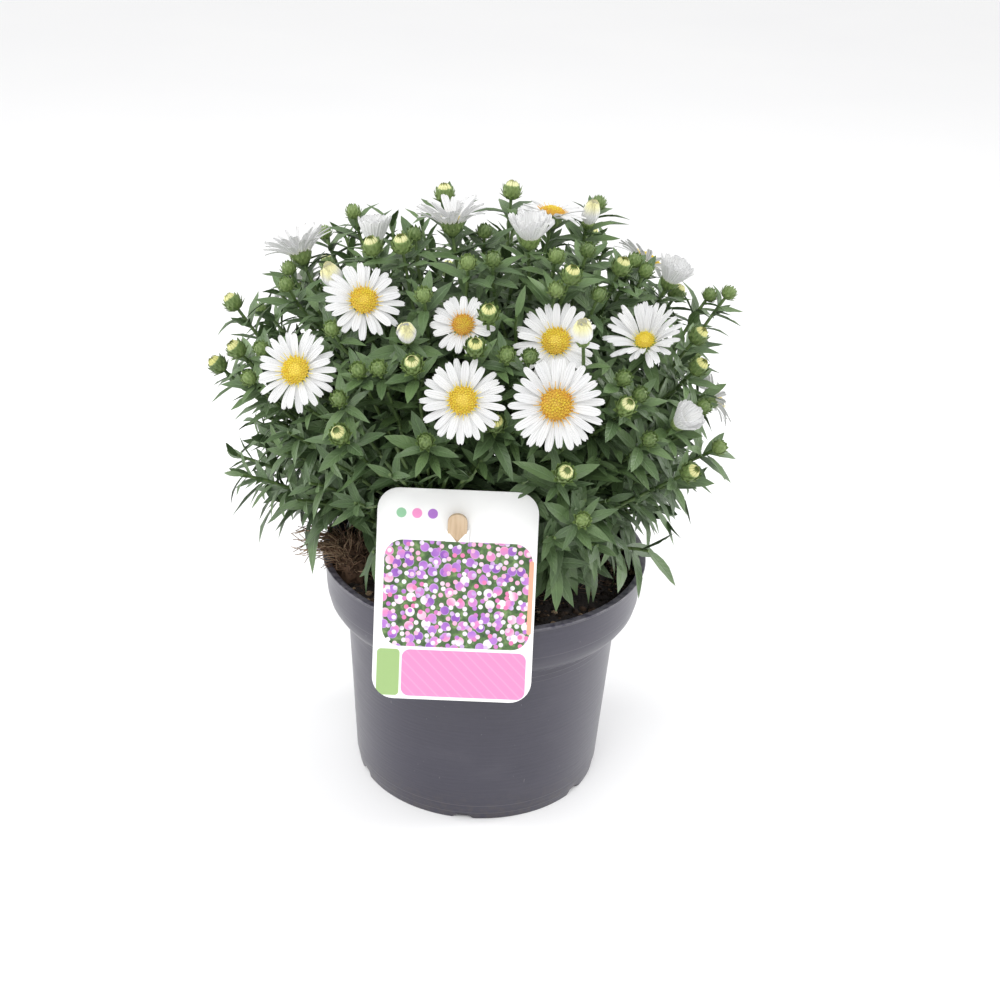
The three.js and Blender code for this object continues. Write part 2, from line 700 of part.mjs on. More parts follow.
// Grows a whorl of leaves on a stalk, one from each side. A leaf that would cross something is left out.
function setWhorl(stem, branch, t, size, draw) {
  const last = branch.steps;
  const k = Math.min(last - 1, Math.floor(t * last));
  const [low, high] = [branch.rings[k], branch.rings[k + 1]];
  const span = low.place.distanceTo(high.place);
  const at = (distance) => low.place.clone().lerp(high.place, distance / span);
  const middle = span * (t * last - k);
  const half = LEAF.thickness / 2;
  const { axis, radius } = low;
  const { radialAt } = frameOf(axis);
  let count = 0;
  const leaves = Array.from({ length: branch.sides }, (_, j) => {
    const radial = radialAt(((j + 0.5) / branch.sides) * 2 * Math.PI);
    const place = at(middle).addScaledVector(radial, radius * Math.cos(Math.PI / branch.sides));
    const length = size.length * (0.85 + 0.3 * draw());
    const fits = (long) => {
      const root = { place, axis, radial };
      const wide = bladeSolid(root, size, long, TEST_MARGIN);
      const { tip, broad } = blade(root, size, long);
      const isLow = (spot) => spot.z < POT.height + LEAF.bladeAboveRim;
      const tooLow = tip.z < POT.height + LEAF.tipAboveRim || broad.some(isLow);
      const tooFar = tip.clone().sub(CROWN.middle).divide(CROWN.reach).length() > LEAF.farthest;
      if (tooLow || tooFar || crossing(wide, stem.name) || crossesOwn(stem, wide, branch.key)) return null;
      keepRoom(stem, bladeSolid(root, size, long, 0), `${branch.key} leaf ${t}`);
      count += 1;
      return { tip, broad };
    };
    return fits(length) ?? fits(length * 0.8) ?? fits(length * 0.62);
  });
  if (!count) return;
  const lower = { place: at(middle - half), axis, radius, leaves };
  const upper = { place: at(middle + half), axis, radius };
  branch.extra.push({ after: k, along: middle, rings: [lower, upper] });
}

// A branch with the ring pairs of its whorls put in order.
function finished({ rings, extra, sides }) {
  const all = rings.flatMap((ring, k) => {
    const here = extra.filter(({ after }) => after === k).sort((a, b) => a.along - b.along);
    return [ring, ...here.flatMap((whorl) => whorl.rings)];
  });
  return solid(stalk(all, sides));
}

// Builds everything

const part = new THREE.Group();
const add = (name, made, material) => part.add(meshOf(name, made, material));

const pot = potSolid();
add("pot", pot, POT_PLASTIC);
take("pot", pot);
const card = cardSolid();
add("label_card", card, CARD_PLASTIC);
take("label_card", card);
const stake = stakeSolid(0);
add("label_stake", stake, WOOD);
take("label_stake", stake);
take("space", spaceBeforeCard());
const ground = soilBody().add(rootTuft());
take("soil", ground);

// Blooms first, then the stems that carry them.
const heads = headList();
let bloomCount = 0;
for (const head of heads) {
  if (head.kind === "bud") continue;
  bloomCount += 1;
  const label = String(bloomCount).padStart(2, "0");
  const seed = 100 + bloomCount;
  const makeRays = head.kind === "open" ? openRays : cupRays;
  const star = makeRays({ across: head.size, rise: head.rise, seed });
  const rays = solid(stand(star, head.place, head.faces));
  add(`bloom_${label}_rays`, rays, WHITE);
  take(`bloom_${label}`, rays);
  head.cupRadius = BRACT_CUP.radius;
  if (head.kind === "cup") head.cupRadius = Math.max(BRACT_CUP.least, head.size * BRACT_CUP.share);
  if (head.kind === "open") {
    const seat = head.place.clone().addScaledVector(head.faces, RAY.thickness + SEAT_GAP);
    const disc = solid(stand(discOf(head.size * DISC.share), seat, head.faces));
    add(`bloom_${label}_disc`, disc, YELLOW);
    take(`bloom_${label}`, disc);
  }
}

function addStalk(stem, rings, sides, steps, key) {
  keepRoom(stem, solid(stalk(rings, sides)), key);
  const branch = { rings, sides, steps, key, extra: [] };
  stem.branches.push(branch);
  return branch;
}

const stems = stemList();
for (const stem of stems) {
  addStalk(stem, stemRings(stem.line, STEM.radius, STEM.steps), STEM.sides, STEM.steps, "main");
}

// Each head goes to the nearest stem that can reach it without crossing anything.
const swings = [new THREE.Vector3()];
for (const strength of [0.5, 1]) {
  for (let i = 0; i < 6; i++) {
    const turn = degrees(i * 60);
    swings.push(new THREE.Vector3(Math.cos(turn), Math.sin(turn), 0.2).multiplyScalar(strength));
  }
}
function branchTo(head, place, stems, strict) {
  const drop = head.kind === "bud" ? 0 : head.cupRadius * BRACT_CUP.below;
  const foot = place.clone().addScaledVector(head.faces, -drop);
  const fuller = { ...head, size: head.size + 0.5 };
  for (const stem of stems) {
    const t = Math.max(0.5, 0.99 - 0.05 * stem.branches.length);
    const from = onStretch(stem.line, STEM.steps, t);
    for (const swing of swings) {
      const line = branchLine(from, foot, head.faces, swing);
      const ringsOf = (radius, top) => {
        return [...stemRings(line, radius, BRANCH.steps), ...headRings(top, place, head.faces)];
      };
      const wide = solid(stalk(ringsOf(BRANCH.radius + TEST_MARGIN, fuller), BRANCH.sides));
      if (crossing(wide, stem.name) || (strict && crossesOwn(stem, wide, "main"))) continue;
      const key = `branch ${stem.branches.length}`;
      addStalk(stem, ringsOf(BRANCH.radius, head), BRANCH.sides, BRANCH.steps, key);
      return true;
    }
  }
  return false;
}

const byHeight = [...heads].sort((a, b) => b.place.z - a.place.z);
for (const head of byHeight) {
  const distance = (stem) => stem.fork.distanceTo(head.place) + 2.5 * stem.branches.length;
  const near = [...stems].sort((a, b) => distance(a) - distance(b)).slice(0, 5);
  const shifts = head.kind === "bud" ? [0, -5, 4, -9, 8, -14, -20] : [0];
  const places = shifts.map((shift) => head.place.clone().addScaledVector(head.faces, shift));
  [true, false].some((strict) => places.some((place) => branchTo(head, place, near, strict)));
}

// Low leafy shoots that carry no head fill the skirt of the plant over the rim.
const draw = draws(2024);
for (const stem of stems) {
  if (!stem.low) continue;
  for (const [i, side] of [-1, 1].entries()) {
    const out = stem.out.clone().applyAxisAngle(UP, side * degrees(SHOOT.spreadDeg));
    const from = onStretch(stem.line, STEM.steps, SHOOT.from + SHOOT.fromStep * i);
    const tip = out.clone().multiplyScalar(SHOOT.reach).setZ(SHOOT.height + SHOOT.step * i);
    const arrive = out.clone().addScaledVector(UP, 0.2).normalize();
    const line = branchLine(from, tip, arrive, new THREE.Vector3());
    const ringsOf = (radius) => stemRings(line, radius, BRANCH.steps);
    const wide = solid(stalk(ringsOf(BRANCH.radius + TEST_MARGIN), BRANCH.sides));
    if (crossing(wide, stem.name) || crossesOwn(stem, wide, "main")) continue;
    const shoot = addStalk(stem, ringsOf(BRANCH.radius), BRANCH.sides, BRANCH.steps, `shoot ${i}`);
    for (const place of SHOOT_WHORLS) setWhorl(stem, shoot, place, LOWER_LEAF, draw);
  }
  setWhorl(stem, stem.branches[0], MAIN_WHORL, LOWER_LEAF, draw);
}
for (const [round, places] of UPPER_WHORLS.entries()) {
  for (const stem of stems) {
    stem.branches.forEach((branch, i) => {
      const isHead = branch.key.startsWith("branch");
      if (!isHead || (round && i % 3)) return;
      setWhorl(stem, branch, places[i % 3], UPPER_LEAF, draw);
    });
  }
}

// The stems and the stake stand in plain holes in the soil.
let soil = ground;
for (const stem of stems) {
  const rings = stemRings(stem.line, STEM.radius + STEM_HOLE_GAP, STEM.steps);
  rings[0].place.addScaledVector(rings[0].axis, -STEM_HOLE_GAP);
  soil = soil.subtract(solid(stalk(rings, STEM.sides)));
}
soil = soil.subtract(stakeSolid(SEAT_GAP));
add("soil", soil, PEAT);

for (const stem of stems) add(stem.name, joined(stem.branches.map(finished)), GREEN);

export default part;
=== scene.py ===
# %% [markdown]
# # A potted New York aster
# The plant stands in a dark nursery pot: twelve leafy stems, two dozen white blooms, many buds, dark peat,
# and a label card held by a wooden stake. The imported model gives the place of every part in metres.
# It is loaded first, and the box around it is kept and printed.

import math
import random

import bmesh
import bpy
import numpy as np
from mathutils import Matrix, Vector, geometry, kdtree, noise


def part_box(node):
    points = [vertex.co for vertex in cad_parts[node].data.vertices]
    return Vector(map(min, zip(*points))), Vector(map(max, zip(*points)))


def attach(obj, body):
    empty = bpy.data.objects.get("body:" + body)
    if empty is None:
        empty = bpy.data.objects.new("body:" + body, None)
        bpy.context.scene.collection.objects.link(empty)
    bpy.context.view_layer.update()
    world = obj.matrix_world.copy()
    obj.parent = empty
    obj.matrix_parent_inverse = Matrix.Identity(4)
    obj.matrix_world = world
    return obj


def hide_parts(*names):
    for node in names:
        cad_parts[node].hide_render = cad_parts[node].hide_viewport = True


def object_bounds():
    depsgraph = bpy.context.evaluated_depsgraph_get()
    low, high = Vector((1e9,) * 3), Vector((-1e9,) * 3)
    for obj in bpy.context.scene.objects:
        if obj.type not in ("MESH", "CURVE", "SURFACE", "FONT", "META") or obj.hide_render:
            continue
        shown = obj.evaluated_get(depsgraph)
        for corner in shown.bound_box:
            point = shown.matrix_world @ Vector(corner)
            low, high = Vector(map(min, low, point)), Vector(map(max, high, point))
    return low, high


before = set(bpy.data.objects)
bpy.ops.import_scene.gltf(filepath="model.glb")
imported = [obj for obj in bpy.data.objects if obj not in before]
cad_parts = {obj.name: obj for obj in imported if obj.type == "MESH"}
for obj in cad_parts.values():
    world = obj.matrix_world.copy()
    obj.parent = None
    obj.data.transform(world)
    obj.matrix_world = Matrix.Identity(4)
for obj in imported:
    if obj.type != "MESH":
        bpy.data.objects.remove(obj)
cad_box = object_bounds()
MM = 0.001
UP = Vector((0, 0, 1))
rounded_box = [[round(c, 3) for c in corner] for corner in cad_box]
print("parts in the frame:", len(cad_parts), "box:", rounded_box)

# %% [markdown]
# ## The camera
# The picture is taken from in front and above, at about 27 degrees, with a long lens. The camera is turned
# a little about its own line of sight. Its axes are worked out here, because the same sight lines say later
# where each flower head stands.

# %% Place the camera
EYE = Vector((0, -779.4, 550)) * MM
AIM = Vector((7, 0, 155.5)) * MM
PICTURE = 1000
FOCAL = 1682
ROLL = math.radians(2.65)
SENSOR = 36

forward = (AIM - EYE).normalized()
right = forward.cross(UP).normalized()
above = right.cross(forward)
picture_right = right * math.cos(ROLL) + above * math.sin(ROLL)
picture_up = above * math.cos(ROLL) - right * math.sin(ROLL)

lens = bpy.data.cameras.new("camera")
lens.lens = SENSOR * FOCAL / PICTURE
camera = bpy.data.objects.new("camera", lens)
bpy.context.scene.collection.objects.link(camera)
turned = Matrix((picture_right, picture_up, -forward)).transposed().to_4x4()
camera.matrix_world = Matrix.Translation(EYE) @ turned
bpy.context.scene.camera = camera
print("lens:", round(lens.lens, 1), "mm")

# %% [markdown]
# ## Studio light
# The light is soft and comes from all around. A white world lights the leaves from every side, and three
# large round lamps, over the front and at both sides, give the rims, leaves and card their soft highlights.

# %% Light the studio
world = bpy.data.worlds.new("white studio")
bpy.context.scene.world = world
world.use_nodes = True
sky = world.node_tree.nodes["Background"].inputs
sky["Color"].default_value = (1, 1, 1, 1)
sky["Strength"].default_value = 1.0
bpy.context.scene.view_settings.view_transform = "Standard"


def soft_lamp(name, place, size, watts):
    """A round area lamp that looks at the plant."""
    lamp = bpy.data.lights.new(name, "AREA")
    lamp.shape = "DISK"
    lamp.size = size
    lamp.energy = watts
    holder = bpy.data.objects.new(name, lamp)
    bpy.context.scene.collection.objects.link(holder)
    holder.location = place
    holder.rotation_euler = (AIM - Vector(place)).to_track_quat("-Z", "Y").to_euler()


LAMPS = {
    "lamp over the front": ((-0.25, -0.75, 1.15), 0.7, 6.5),
    "lamp at the left": ((-1.1, 0.15, 0.55), 0.6, 6),
    "lamp at the right": ((1.1, 0.25, 0.6), 0.6, 8),
}
for name, (place, size, watts) in LAMPS.items():
    soft_lamp(name, place, size, watts)
print("lamps:", len(LAMPS))

# %% [markdown]
# ## Shader arithmetic
# A finish is one material. A value on its way through it can be added, scaled and compared like a number:
# each sign adds one Math node. Any other node comes from one method, which takes the node's type, its
# settings, and the values or links of its sockets.

# %% Values and finishes
class Value:
    """A value inside a finish. Arithmetic on it adds Math nodes."""

    def __init__(self, finish, socket):
        self.finish = finish
        self.socket = socket

    def out(self, name):
        return Value(self.finish, self.socket.node.outputs[name])

    def math(self, operation, *others):
        return self.finish.node("ShaderNodeMath", {"operation": operation}, dict(enumerate((self, *others))))

    def __add__(self, other):
        return self.math("ADD", other)

    def __sub__(self, other):
        return self.math("SUBTRACT", other)

    def __rsub__(self, other):
        return self.finish.node("ShaderNodeMath", {"operation": "SUBTRACT"}, {0: other, 1: self})

    def __mul__(self, other):
        return self.math("MULTIPLY", other)

    def __pow__(self, other):
        return self.math("POWER", other)

    __radd__ = __add__
    __rmul__ = __mul__

    def size(self):
        return self.math("ABSOLUTE")

    def between(self, low, high):
        """0 below low, 1 above high, and a smooth rise between them. High may lie below low."""
        ends = {"Value": self, "From Min": low, "From Max": high}
        return self.finish.node("ShaderNodeMapRange", {"interpolation_type": "SMOOTHSTEP"}, ends)


class Finish:
    """One material, named for the surface that it gives."""

    def __init__(self, name, **constants):
        self.material = bpy.data.materials.new(name)
        self.material.use_nodes = True
        self.tree = self.material.node_tree
        self.shader = self.tree.nodes["Principled BSDF"]
        for socket, value in constants.items():
            self.shader.inputs[socket.replace("_", " ").title()].default_value = value

    def node(self, kind, settings=None, inputs=None, output=0):
        """Adds any node, and gives the value of one of its outputs."""
        node = self.tree.nodes.new(kind)
        for key, value in (settings or {}).items():
            if key == "stops":
                ramp = node.color_ramp.elements
                while len(ramp) < len(value):
                    ramp.new(0.5)
                for element, (position, colour) in zip(ramp, value):
                    element.position = position
                    element.color = (*colour, 1)
            else:
                setattr(node, key, value)
        for key, value in (inputs or {}).items():
            if isinstance(value, Value):
                self.tree.links.new(value.socket, node.inputs[key])
            else:
                node.inputs[key].default_value = value
        return Value(self, node.outputs[output])

    def place(self):
        return self.node("ShaderNodeTexCoord", output="Object")

    def noise(self, scale, detail=2, vector=None, stretch=None):
        vector = vector or self.place()
        if stretch:
            vector = self.node("ShaderNodeVectorMath", {"operation": "MULTIPLY"}, {0: vector, 1: stretch})
        return self.node("ShaderNodeTexNoise", None, {"Vector": vector, "Scale": scale, "Detail": detail})

    def attribute(self, name):
        """The three parts of a vector that the mesh carries."""
        stored = self.node("ShaderNodeAttribute", {"attribute_name": name}, output="Vector")
        parts = self.node("ShaderNodeSeparateXYZ", None, {0: stored})
        return parts, parts.out("Y"), parts.out("Z")

    def ramp(self, value, stops):
        return self.node("ShaderNodeValToRGB", {"stops": stops}, {"Fac": value})

    def mix(self, share, first, second):
        """The first colour at share 0 and the second at 1."""
        first, second = [c if isinstance(c, Value) else (*c, 1) for c in (first, second)]
        return self.node("ShaderNodeMix", {"data_type": "RGBA"}, {0: share, 6: first, 7: second}, output=2)

    def wear(self, **links):
        """Links values to the surface's own sockets."""
        for socket, value in links.items():
            self.tree.links.new(value.socket, self.shader.inputs[socket.replace("_", " ").title()])
        return self

    def bump(self, height, distance, strength=1.0):
        lift = {"Height": height, "Distance": distance, "Strength": strength}
        self.tree.links.new(self.node("ShaderNodeBump", None, lift).socket, self.shader.inputs["Normal"])
        return self


print("shader values ready")

# %% [markdown]
# ## Thin blades
# Leaves, rays, bracts and bud scales are all thin blades with a pointed or rounded end. Each starts as a
# flat grid one unit long. An outline narrows it, a lift bends it, and a copy of the sheet below it closes
# it into a thin lens, which costs few faces. A mesh attribute keeps how far across and along the blade each
# point is, so a finish can draw its midrib, and a third number holds the shade of each single blade.

# %% Make a thin blade
def marked_shape(layer="blade"):
    """An empty shape, and the layer in which its points keep their marks."""
    shape = bmesh.new()
    return shape, shape.verts.layers.float_vector.new(layer)


def mesh_of(shape, name, sharp=None, material=0):
    """The mesh of a shape, shaded smooth where its edges turn by less than a sharp angle in degrees."""
    if sharp:
        for face in shape.faces:
            face.smooth = True
            face.material_index = material
        for edge in shape.edges:
            edge.smooth = len(edge.link_faces) == 2 and edge.calc_face_angle() < math.radians(sharp)
    mesh = bpy.data.meshes.new(name)
    shape.to_mesh(mesh)
    shape.free()
    return mesh


BLADE_SHARP = 50


def thin_blade(name, rows, half_width, lift, thickness, notch=0, material=0, crowd=1.0):
    """A closed blade from the origin along +Y, one unit long. Crowd draws its rows towards its end."""
    sheet, marks = marked_shape()
    bmesh.ops.create_grid(sheet, x_segments=2, y_segments=rows, size=1)
    for vert in sheet.verts:
        across, along = vert.co.x, 1 - (0.5 - vert.co.y / 2) ** crowd
        vert[marks] = (across, along, 0)
        pulled = along - notch * (along > 0.99) * (1 - abs(across))
        vert.co = (across * half_width(along), pulled, lift(abs(across), along))
    inner = [vert for vert in sheet.verts if not vert.is_boundary]
    under = bmesh.ops.duplicate(sheet, geom=sheet.faces[:])
    below = {under["vert_map"][vert] for vert in inner}
    lower = [item for item in under["geom"] if isinstance(item, bmesh.types.BMFace)]
    bmesh.ops.reverse_faces(sheet, faces=lower)
    bmesh.ops.translate(sheet, verts=list(below), vec=(0, 0, -thickness))
    bmesh.ops.remove_doubles(sheet, verts=sheet.verts, dist=1e-5)
    mesh = mesh_of(sheet, name, BLADE_SHARP, material)
    print(name, "has", len(mesh.polygons), "faces")
    return mesh


def lay(place, along, up, length=1.0, width=1.0):
    """A matrix that lays a blade from a place along a direction, with its upper face towards up."""
    y = along.normalized()
    x = y.cross(up).normalized()
    turned = Matrix((x, y, x.cross(y))).transposed().to_4x4()
    return Matrix.Translation(place) @ turned @ Matrix.Diagonal((length * width, length, length, 1))


def square_to(axis, turn):
    """A direction square to an axis, at a turn about it."""
    side = axis.orthogonal().normalized()
    return Matrix.Rotation(turn, 3, axis) @ side


def spoke(turn, ring=1.0, rise=0.0):
    """A vector at a turn about +Z, with its length in plan and its height."""
    return Vector((ring * math.cos(turn), ring * math.sin(turn), rise))


def raised(out, axis, rise):
    """The direction that rises from out towards an axis, and the one square to it."""
    return out * math.cos(rise) + axis * math.sin(rise), axis * math.cos(rise) - out * math.sin(rise)


def stood(place, axis):
    """A matrix that stands a mesh on a place along an axis."""
    return Matrix.Translation(place) @ axis.to_track_quat("Z", "Y").to_matrix().to_4x4()


INSIDE = 0.05 * MM
node_boxes = np.array([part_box(node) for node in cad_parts])
box_low = (node_boxes[:, 0].min(0) + INSIDE * np.array((1, 1, 0))).tolist()
box_high = (node_boxes[:, 1].max(0) - INSIDE).tolist()


class Growth:
    """Gathers copies of small meshes into one piece."""

    def __init__(self, name):
        self.name = name
        self.shape, _ = marked_shape()

    def put(self, mesh, matrix=Matrix(), shade=0.0):
        copy = mesh.copy()
        copy.transform(matrix)
        marks = copy.attributes["blade"].data
        values = np.empty(len(marks) * 3, np.float32)
        marks.foreach_get("vector", values)
        values[2::3] = shade
        marks.foreach_set("vector", values)
        self.shape.from_mesh(copy)
        bpy.data.meshes.remove(copy)

    def piece(self, finishes, slot, *nodes):
        """The finished piece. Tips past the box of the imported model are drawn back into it."""
        for vert in self.shape.verts:
            vert.co = [max(low, min(high, value)) for low, value, high in zip(box_low, vert.co, box_high)]
        return set_piece(mesh_of(self.shape, self.name), finishes, slot, *nodes)


def in_scene(mesh, finishes):
    """An object of the mesh's name, with its finishes."""
    for finish in finishes:
        mesh.materials.append(finish.material)
    thing = bpy.data.objects.new(mesh.name, mesh)
    bpy.context.scene.collection.objects.link(thing)
    return thing


def set_piece(mesh, finishes, slot, *nodes):
    """Puts a finished mesh in the scene, on the body, in place of the nodes that it stands for."""
    piece = in_scene(mesh, finishes)
    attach(piece, "root")
    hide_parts(*nodes)
    return piece


# %% [markdown]
# ## Leaf shapes
# The upper leaves are broadest a little below their middle and the lower ones at their middle. All are
# folded a little along the midrib and arch down towards the point. A few shapes with more or less arch and
# waved margins are enough, because each copy gets its own length, turn and shade.

# %% Shape the leaves
def lance(broadest, half, foot):
    """An outline that widens from its foot to the broadest place and runs to a point."""

    def half_width(t):
        if t < broadest:
            return half * (foot + (1 - foot) * math.sin(t / broadest * math.pi / 2))
        return half * max(0.0, math.cos((t - broadest) / (1 - broadest) * math.pi / 2)) ** 0.85

    return half_width


def arched(droop, fold, wave):
    """A lift that arches down to the tip and turns the margins up, with a slight wave."""

    def lift(across, along):
        margin = across * math.sin(math.pi * min(1, along * 1.1))
        return 0.06 * along - droop * along * along + margin * (fold + wave * math.sin(along * 13))

    return lift


UPPER_LEAVES = [
    thin_blade(f"upper leaf {i}", 5, lance(0.42, half, 0.35), arched(droop, fold, wave), 0.012)
    for i, (half, droop, fold, wave) in enumerate(
        [
            (0.128, 0.12, 0.04, 0.006),
            (0.142, 0.26, 0.03, 0.01),
            (0.12, 0.4, 0.045, 0.008),
            (0.15, 0.04, 0.04, 0.01),
        ]
    )
]
LOWER_LEAVES = [
    thin_blade(f"lower leaf {i}", 6, lance(0.5, half, 0.22), arched(droop, fold, wave), 0.01)
    for i, (half, droop, fold, wave) in enumerate(
        [(0.125, 0.2, 0.022, 0.01), (0.135, 0.36, 0.015, 0.014), (0.118, 0.5, 0.026, 0.012)]
    )
]
BRACT = thin_blade("bract leaf", 4, lance(0.35, 0.1, 0.6), arched(0.12, 0.03, 0), 0.02)

# %% [markdown]
# ## Where the heads stand
# Each head on the near side is given by where it is seen in the picture, how wide it is in millimetres, the
# way it faces, how steeply its rays rise and how deep it lies in the crown, an ellipsoid that the plant
# fills. Heads on the far side, which isn't seen, follow a golden-ratio rule.

# %% List the heads
CROWN_MIDDLE = Vector((-9, 5, 195)) * MM
CROWN_REACH = Vector((130, 108, 118)) * MM
OPEN_BLOOMS = [
    # seen, across, faces, rise, depth, age of the disc, number of rays
    ((297, 371), 39, (-0.25, -0.8, 0.55), 5, 1, 0.15, 27),
    ((363, 302), 38, (0.22, -0.7, 0.68), 8, 1, 0.35, 25),
    ((463, 326), 30, (0, -0.75, 0.66), 8, 0.92, 1, 19),
    ((556, 343), 39, (-0.1, -0.72, 0.69), 8, 0.93, 0.3, 26),
    ((556, 405), 44, (0.05, -0.88, 0.47), 3, 1.04, 0.75, 28),
    ((463, 401), 39, (-0.05, -0.85, 0.53), 5, 0.98, 0.2, 26),
    ((645, 342), 36, (-0.15, -0.55, 0.82), 22, 1, 0, 34),
    ((300, 252), 35, (-0.35, 0.2, 0.92), 14, 1, 0.2, 45),
    ((452, 222), 34, (-0.1, 0.12, 0.99), 14, 1, 0.2, 45),
    ((552, 215), 34, (0.1, 0.05, 0.99), 8, 1, 0.8, 26),
]
HALF_OPEN_BLOOMS = [
    ((375, 240), 20, (-0.1, 0.1, 1), 58, 0.97, 0, 26),
    ((530, 237), 25, (0, -0.1, 1), 48, 1.03, 0, 32),
    ((670, 280), 22, (0.35, -0.1, 0.93), 52, 1, 0, 30),
    ((679, 423), 18, (0.5, -0.5, 0.7), 58, 1, 0, 26),
    ((583, 340), 13, (-0.1, -0.5, 0.85), 74, 1.12, 0, 18),
    ((407, 338), 11, (0, -0.7, 0.7), 74, 1, 0, 16),
    ((588, 222), 12, (0.15, -0.3, 0.95), 74, 1, 0, 16),
    ((336, 284), 13, (-0.3, -0.4, 0.85), 74, 1, 0, 16),
]
YELLOW_TIPPED_BUDS = [
    (445, 202), (511, 199), (238, 309), (242, 355), (224, 370), (343, 438), (414, 370),
    (497, 414), (374, 254), (403, 252), (488, 320), (475, 353), (562, 476), (622, 411),
    (684, 475), (693, 342), (618, 274), (693, 372), (565, 295),
]  # fmt: skip
GREEN_BUDS = [
    (355, 218), (415, 240), (468, 268), (493, 265), (485, 220), (555, 262), (597, 209),
    (586, 256), (632, 266), (643, 276), (725, 298), (706, 300), (621, 382), (637, 398),
    (699, 410), (714, 450), (646, 442), (287, 265), (289, 290), (265, 353), (253, 382),
    (334, 333), (360, 374), (341, 402), (380, 372), (424, 300), (425, 440), (506, 359),
    (529, 361), (555, 295), (597, 300), (580, 521),
]  # fmt: skip
YELLOW_BUD, GREEN_BUD = 5.2 * MM, 4.2 * MM
FAR_BLOOMS, FAR_BUDS = 6, 15
BUD_SHIFTS = (0, -5, 4, -9, 8, -14, -20)
BUD_TIP = 1.9
SEAT_GAP = 0.3 * MM


def over(first, second):
    """One vector over another, part by part."""
    return Vector(a / b for a, b in zip(first, second))


def in_crown(way):
    """The place that a vector of the unit ball has in the crown."""
    return CROWN_MIDDLE + Vector(a * b for a, b in zip(way, CROWN_REACH))


def on_crown(seen, depth=1.0):
    """Where the sight line through a picture point meets the crown, or passes nearest to its middle."""
    u, v = (seen[0] - PICTURE / 2) / FOCAL, (PICTURE / 2 - seen[1]) / FOCAL
    way = (forward + picture_right * u + picture_up * v).normalized()
    start, run = over(EYE - CROWN_MIDDLE, CROWN_REACH), over(way, CROWN_REACH)
    a, b, c = run.dot(run), start.dot(run), start.dot(start) - depth * depth
    return EYE + way * ((-b - math.sqrt(max(0, b * b - a * c))) / a)


def outwards(point):
    """The way square to the crown's surface at a point."""
    return over(over(point - CROWN_MIDDLE, CROWN_REACH), CROWN_REACH).normalized()


def far_place(index, count):
    """A place on the far side of the crown. The places spread evenly by the golden ratio."""
    turn = math.radians(15 + 150 * (index * 0.618 % 1))
    height = 0.02 + 0.7 * (index + 0.5) / count
    return in_crown(spoke(turn, math.sqrt(1 - height * height), height))


heads = []
for kind, seen_blooms in (("open", OPEN_BLOOMS), ("cup", HALF_OPEN_BLOOMS)):
    for seen, across, faces, rise, depth, age, rays in seen_blooms:
        heads.append(
            dict(kind=kind, place=on_crown(seen, depth), faces=Vector(faces).normalized(), size=across * MM,
                 rise=rise, age=age, rays=rays, near=True)
        )  # fmt: skip
for i in range(FAR_BLOOMS):
    place = far_place(i, FAR_BLOOMS)
    faces = (outwards(place) + UP * 0.35).normalized()
    heads.append(
        dict(kind="open", place=place, faces=faces, size=(34 + 2 * (i % 3)) * MM,
             rise=6, age=i % 4 / 4, rays=26, near=False)
    )  # fmt: skip
bud_list = [(on_crown(seen), YELLOW_BUD, True) for seen in YELLOW_TIPPED_BUDS]
bud_list += [(on_crown(seen), GREEN_BUD, True) for seen in GREEN_BUDS]
for i in range(FAR_BUDS):
    radius = YELLOW_BUD if i % 2 else GREEN_BUD
    bud_list.append((far_place(i + 0.37, FAR_BUDS + 0.37), radius, False))
for place, radius, near in bud_list:
    faces = (outwards(place) + UP * 0.7).normalized()
    heads.append(dict(kind="bud", place=place, faces=faces, size=radius, near=near))
for head in heads:
    head["cup"] = 5.4 * MM if head["kind"] == "open" else max(3.2 * MM, head["size"] * 0.2)
print("heads:", len(heads))

# %% [markdown]
# ## Which stem carries which head
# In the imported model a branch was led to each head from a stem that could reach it, and some buds were
# moved along the way they face. The corners of the stem solids tell both: a bud's tip is a corner of its
# stem, and the rim of a bloom's green cup has its corners at the cup's radius.

# %% Find the stem of each head
STEM_COUNT = 12
CLOSE = 0.03 * MM
corner_trees = []
for number in range(1, STEM_COUNT + 1):
    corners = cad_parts[f"leafy_stem_{number}"].data.vertices
    tree = kdtree.KDTree(len(corners))
    for i, corner in enumerate(corners):
        tree.insert(corner.co, i)
    tree.balance()
    corner_trees.append(tree)


def stem_of(head):
    """The number of the stem that carries a head, and the head's place on it."""
    for shift in BUD_SHIFTS if head["kind"] == "bud" else (0,):
        place = head["place"] + head["faces"] * shift * MM
        for number, tree in enumerate(corner_trees):
            if head["kind"] == "bud":
                tip = place + head["faces"] * BUD_TIP * head["size"]
                found = tree.find(tip)[2] < CLOSE
            else:
                rim = tree.find_range(place - head["faces"] * SEAT_GAP, head["cup"] + CLOSE)
                found = sum(abs(distance - head["cup"]) < CLOSE for _, _, distance in rim) >= 4
            if found:
                return number, place
    return None, head["place"]


for head in heads:
    head["stem"], head["place"] = stem_of(head)
lost = [head for head in heads if head["stem"] is None]
heads_on = [[head for head in heads if head["stem"] == number] for number in range(STEM_COUNT)]
print("heads on each stem:", [len(carried) for carried in heads_on], "without a stem:", len(lost))

# %% [markdown]
# ## Finishes of the plant
# Aster leaves are a deep, satin green with a paler midrib and margin. The rays are a soft white with fine
# veins along them, and the florets of the disc turn from yellow to orange as they age. Every finish reads
# the blade marks, so each leaf, scale and ray has its own shade.

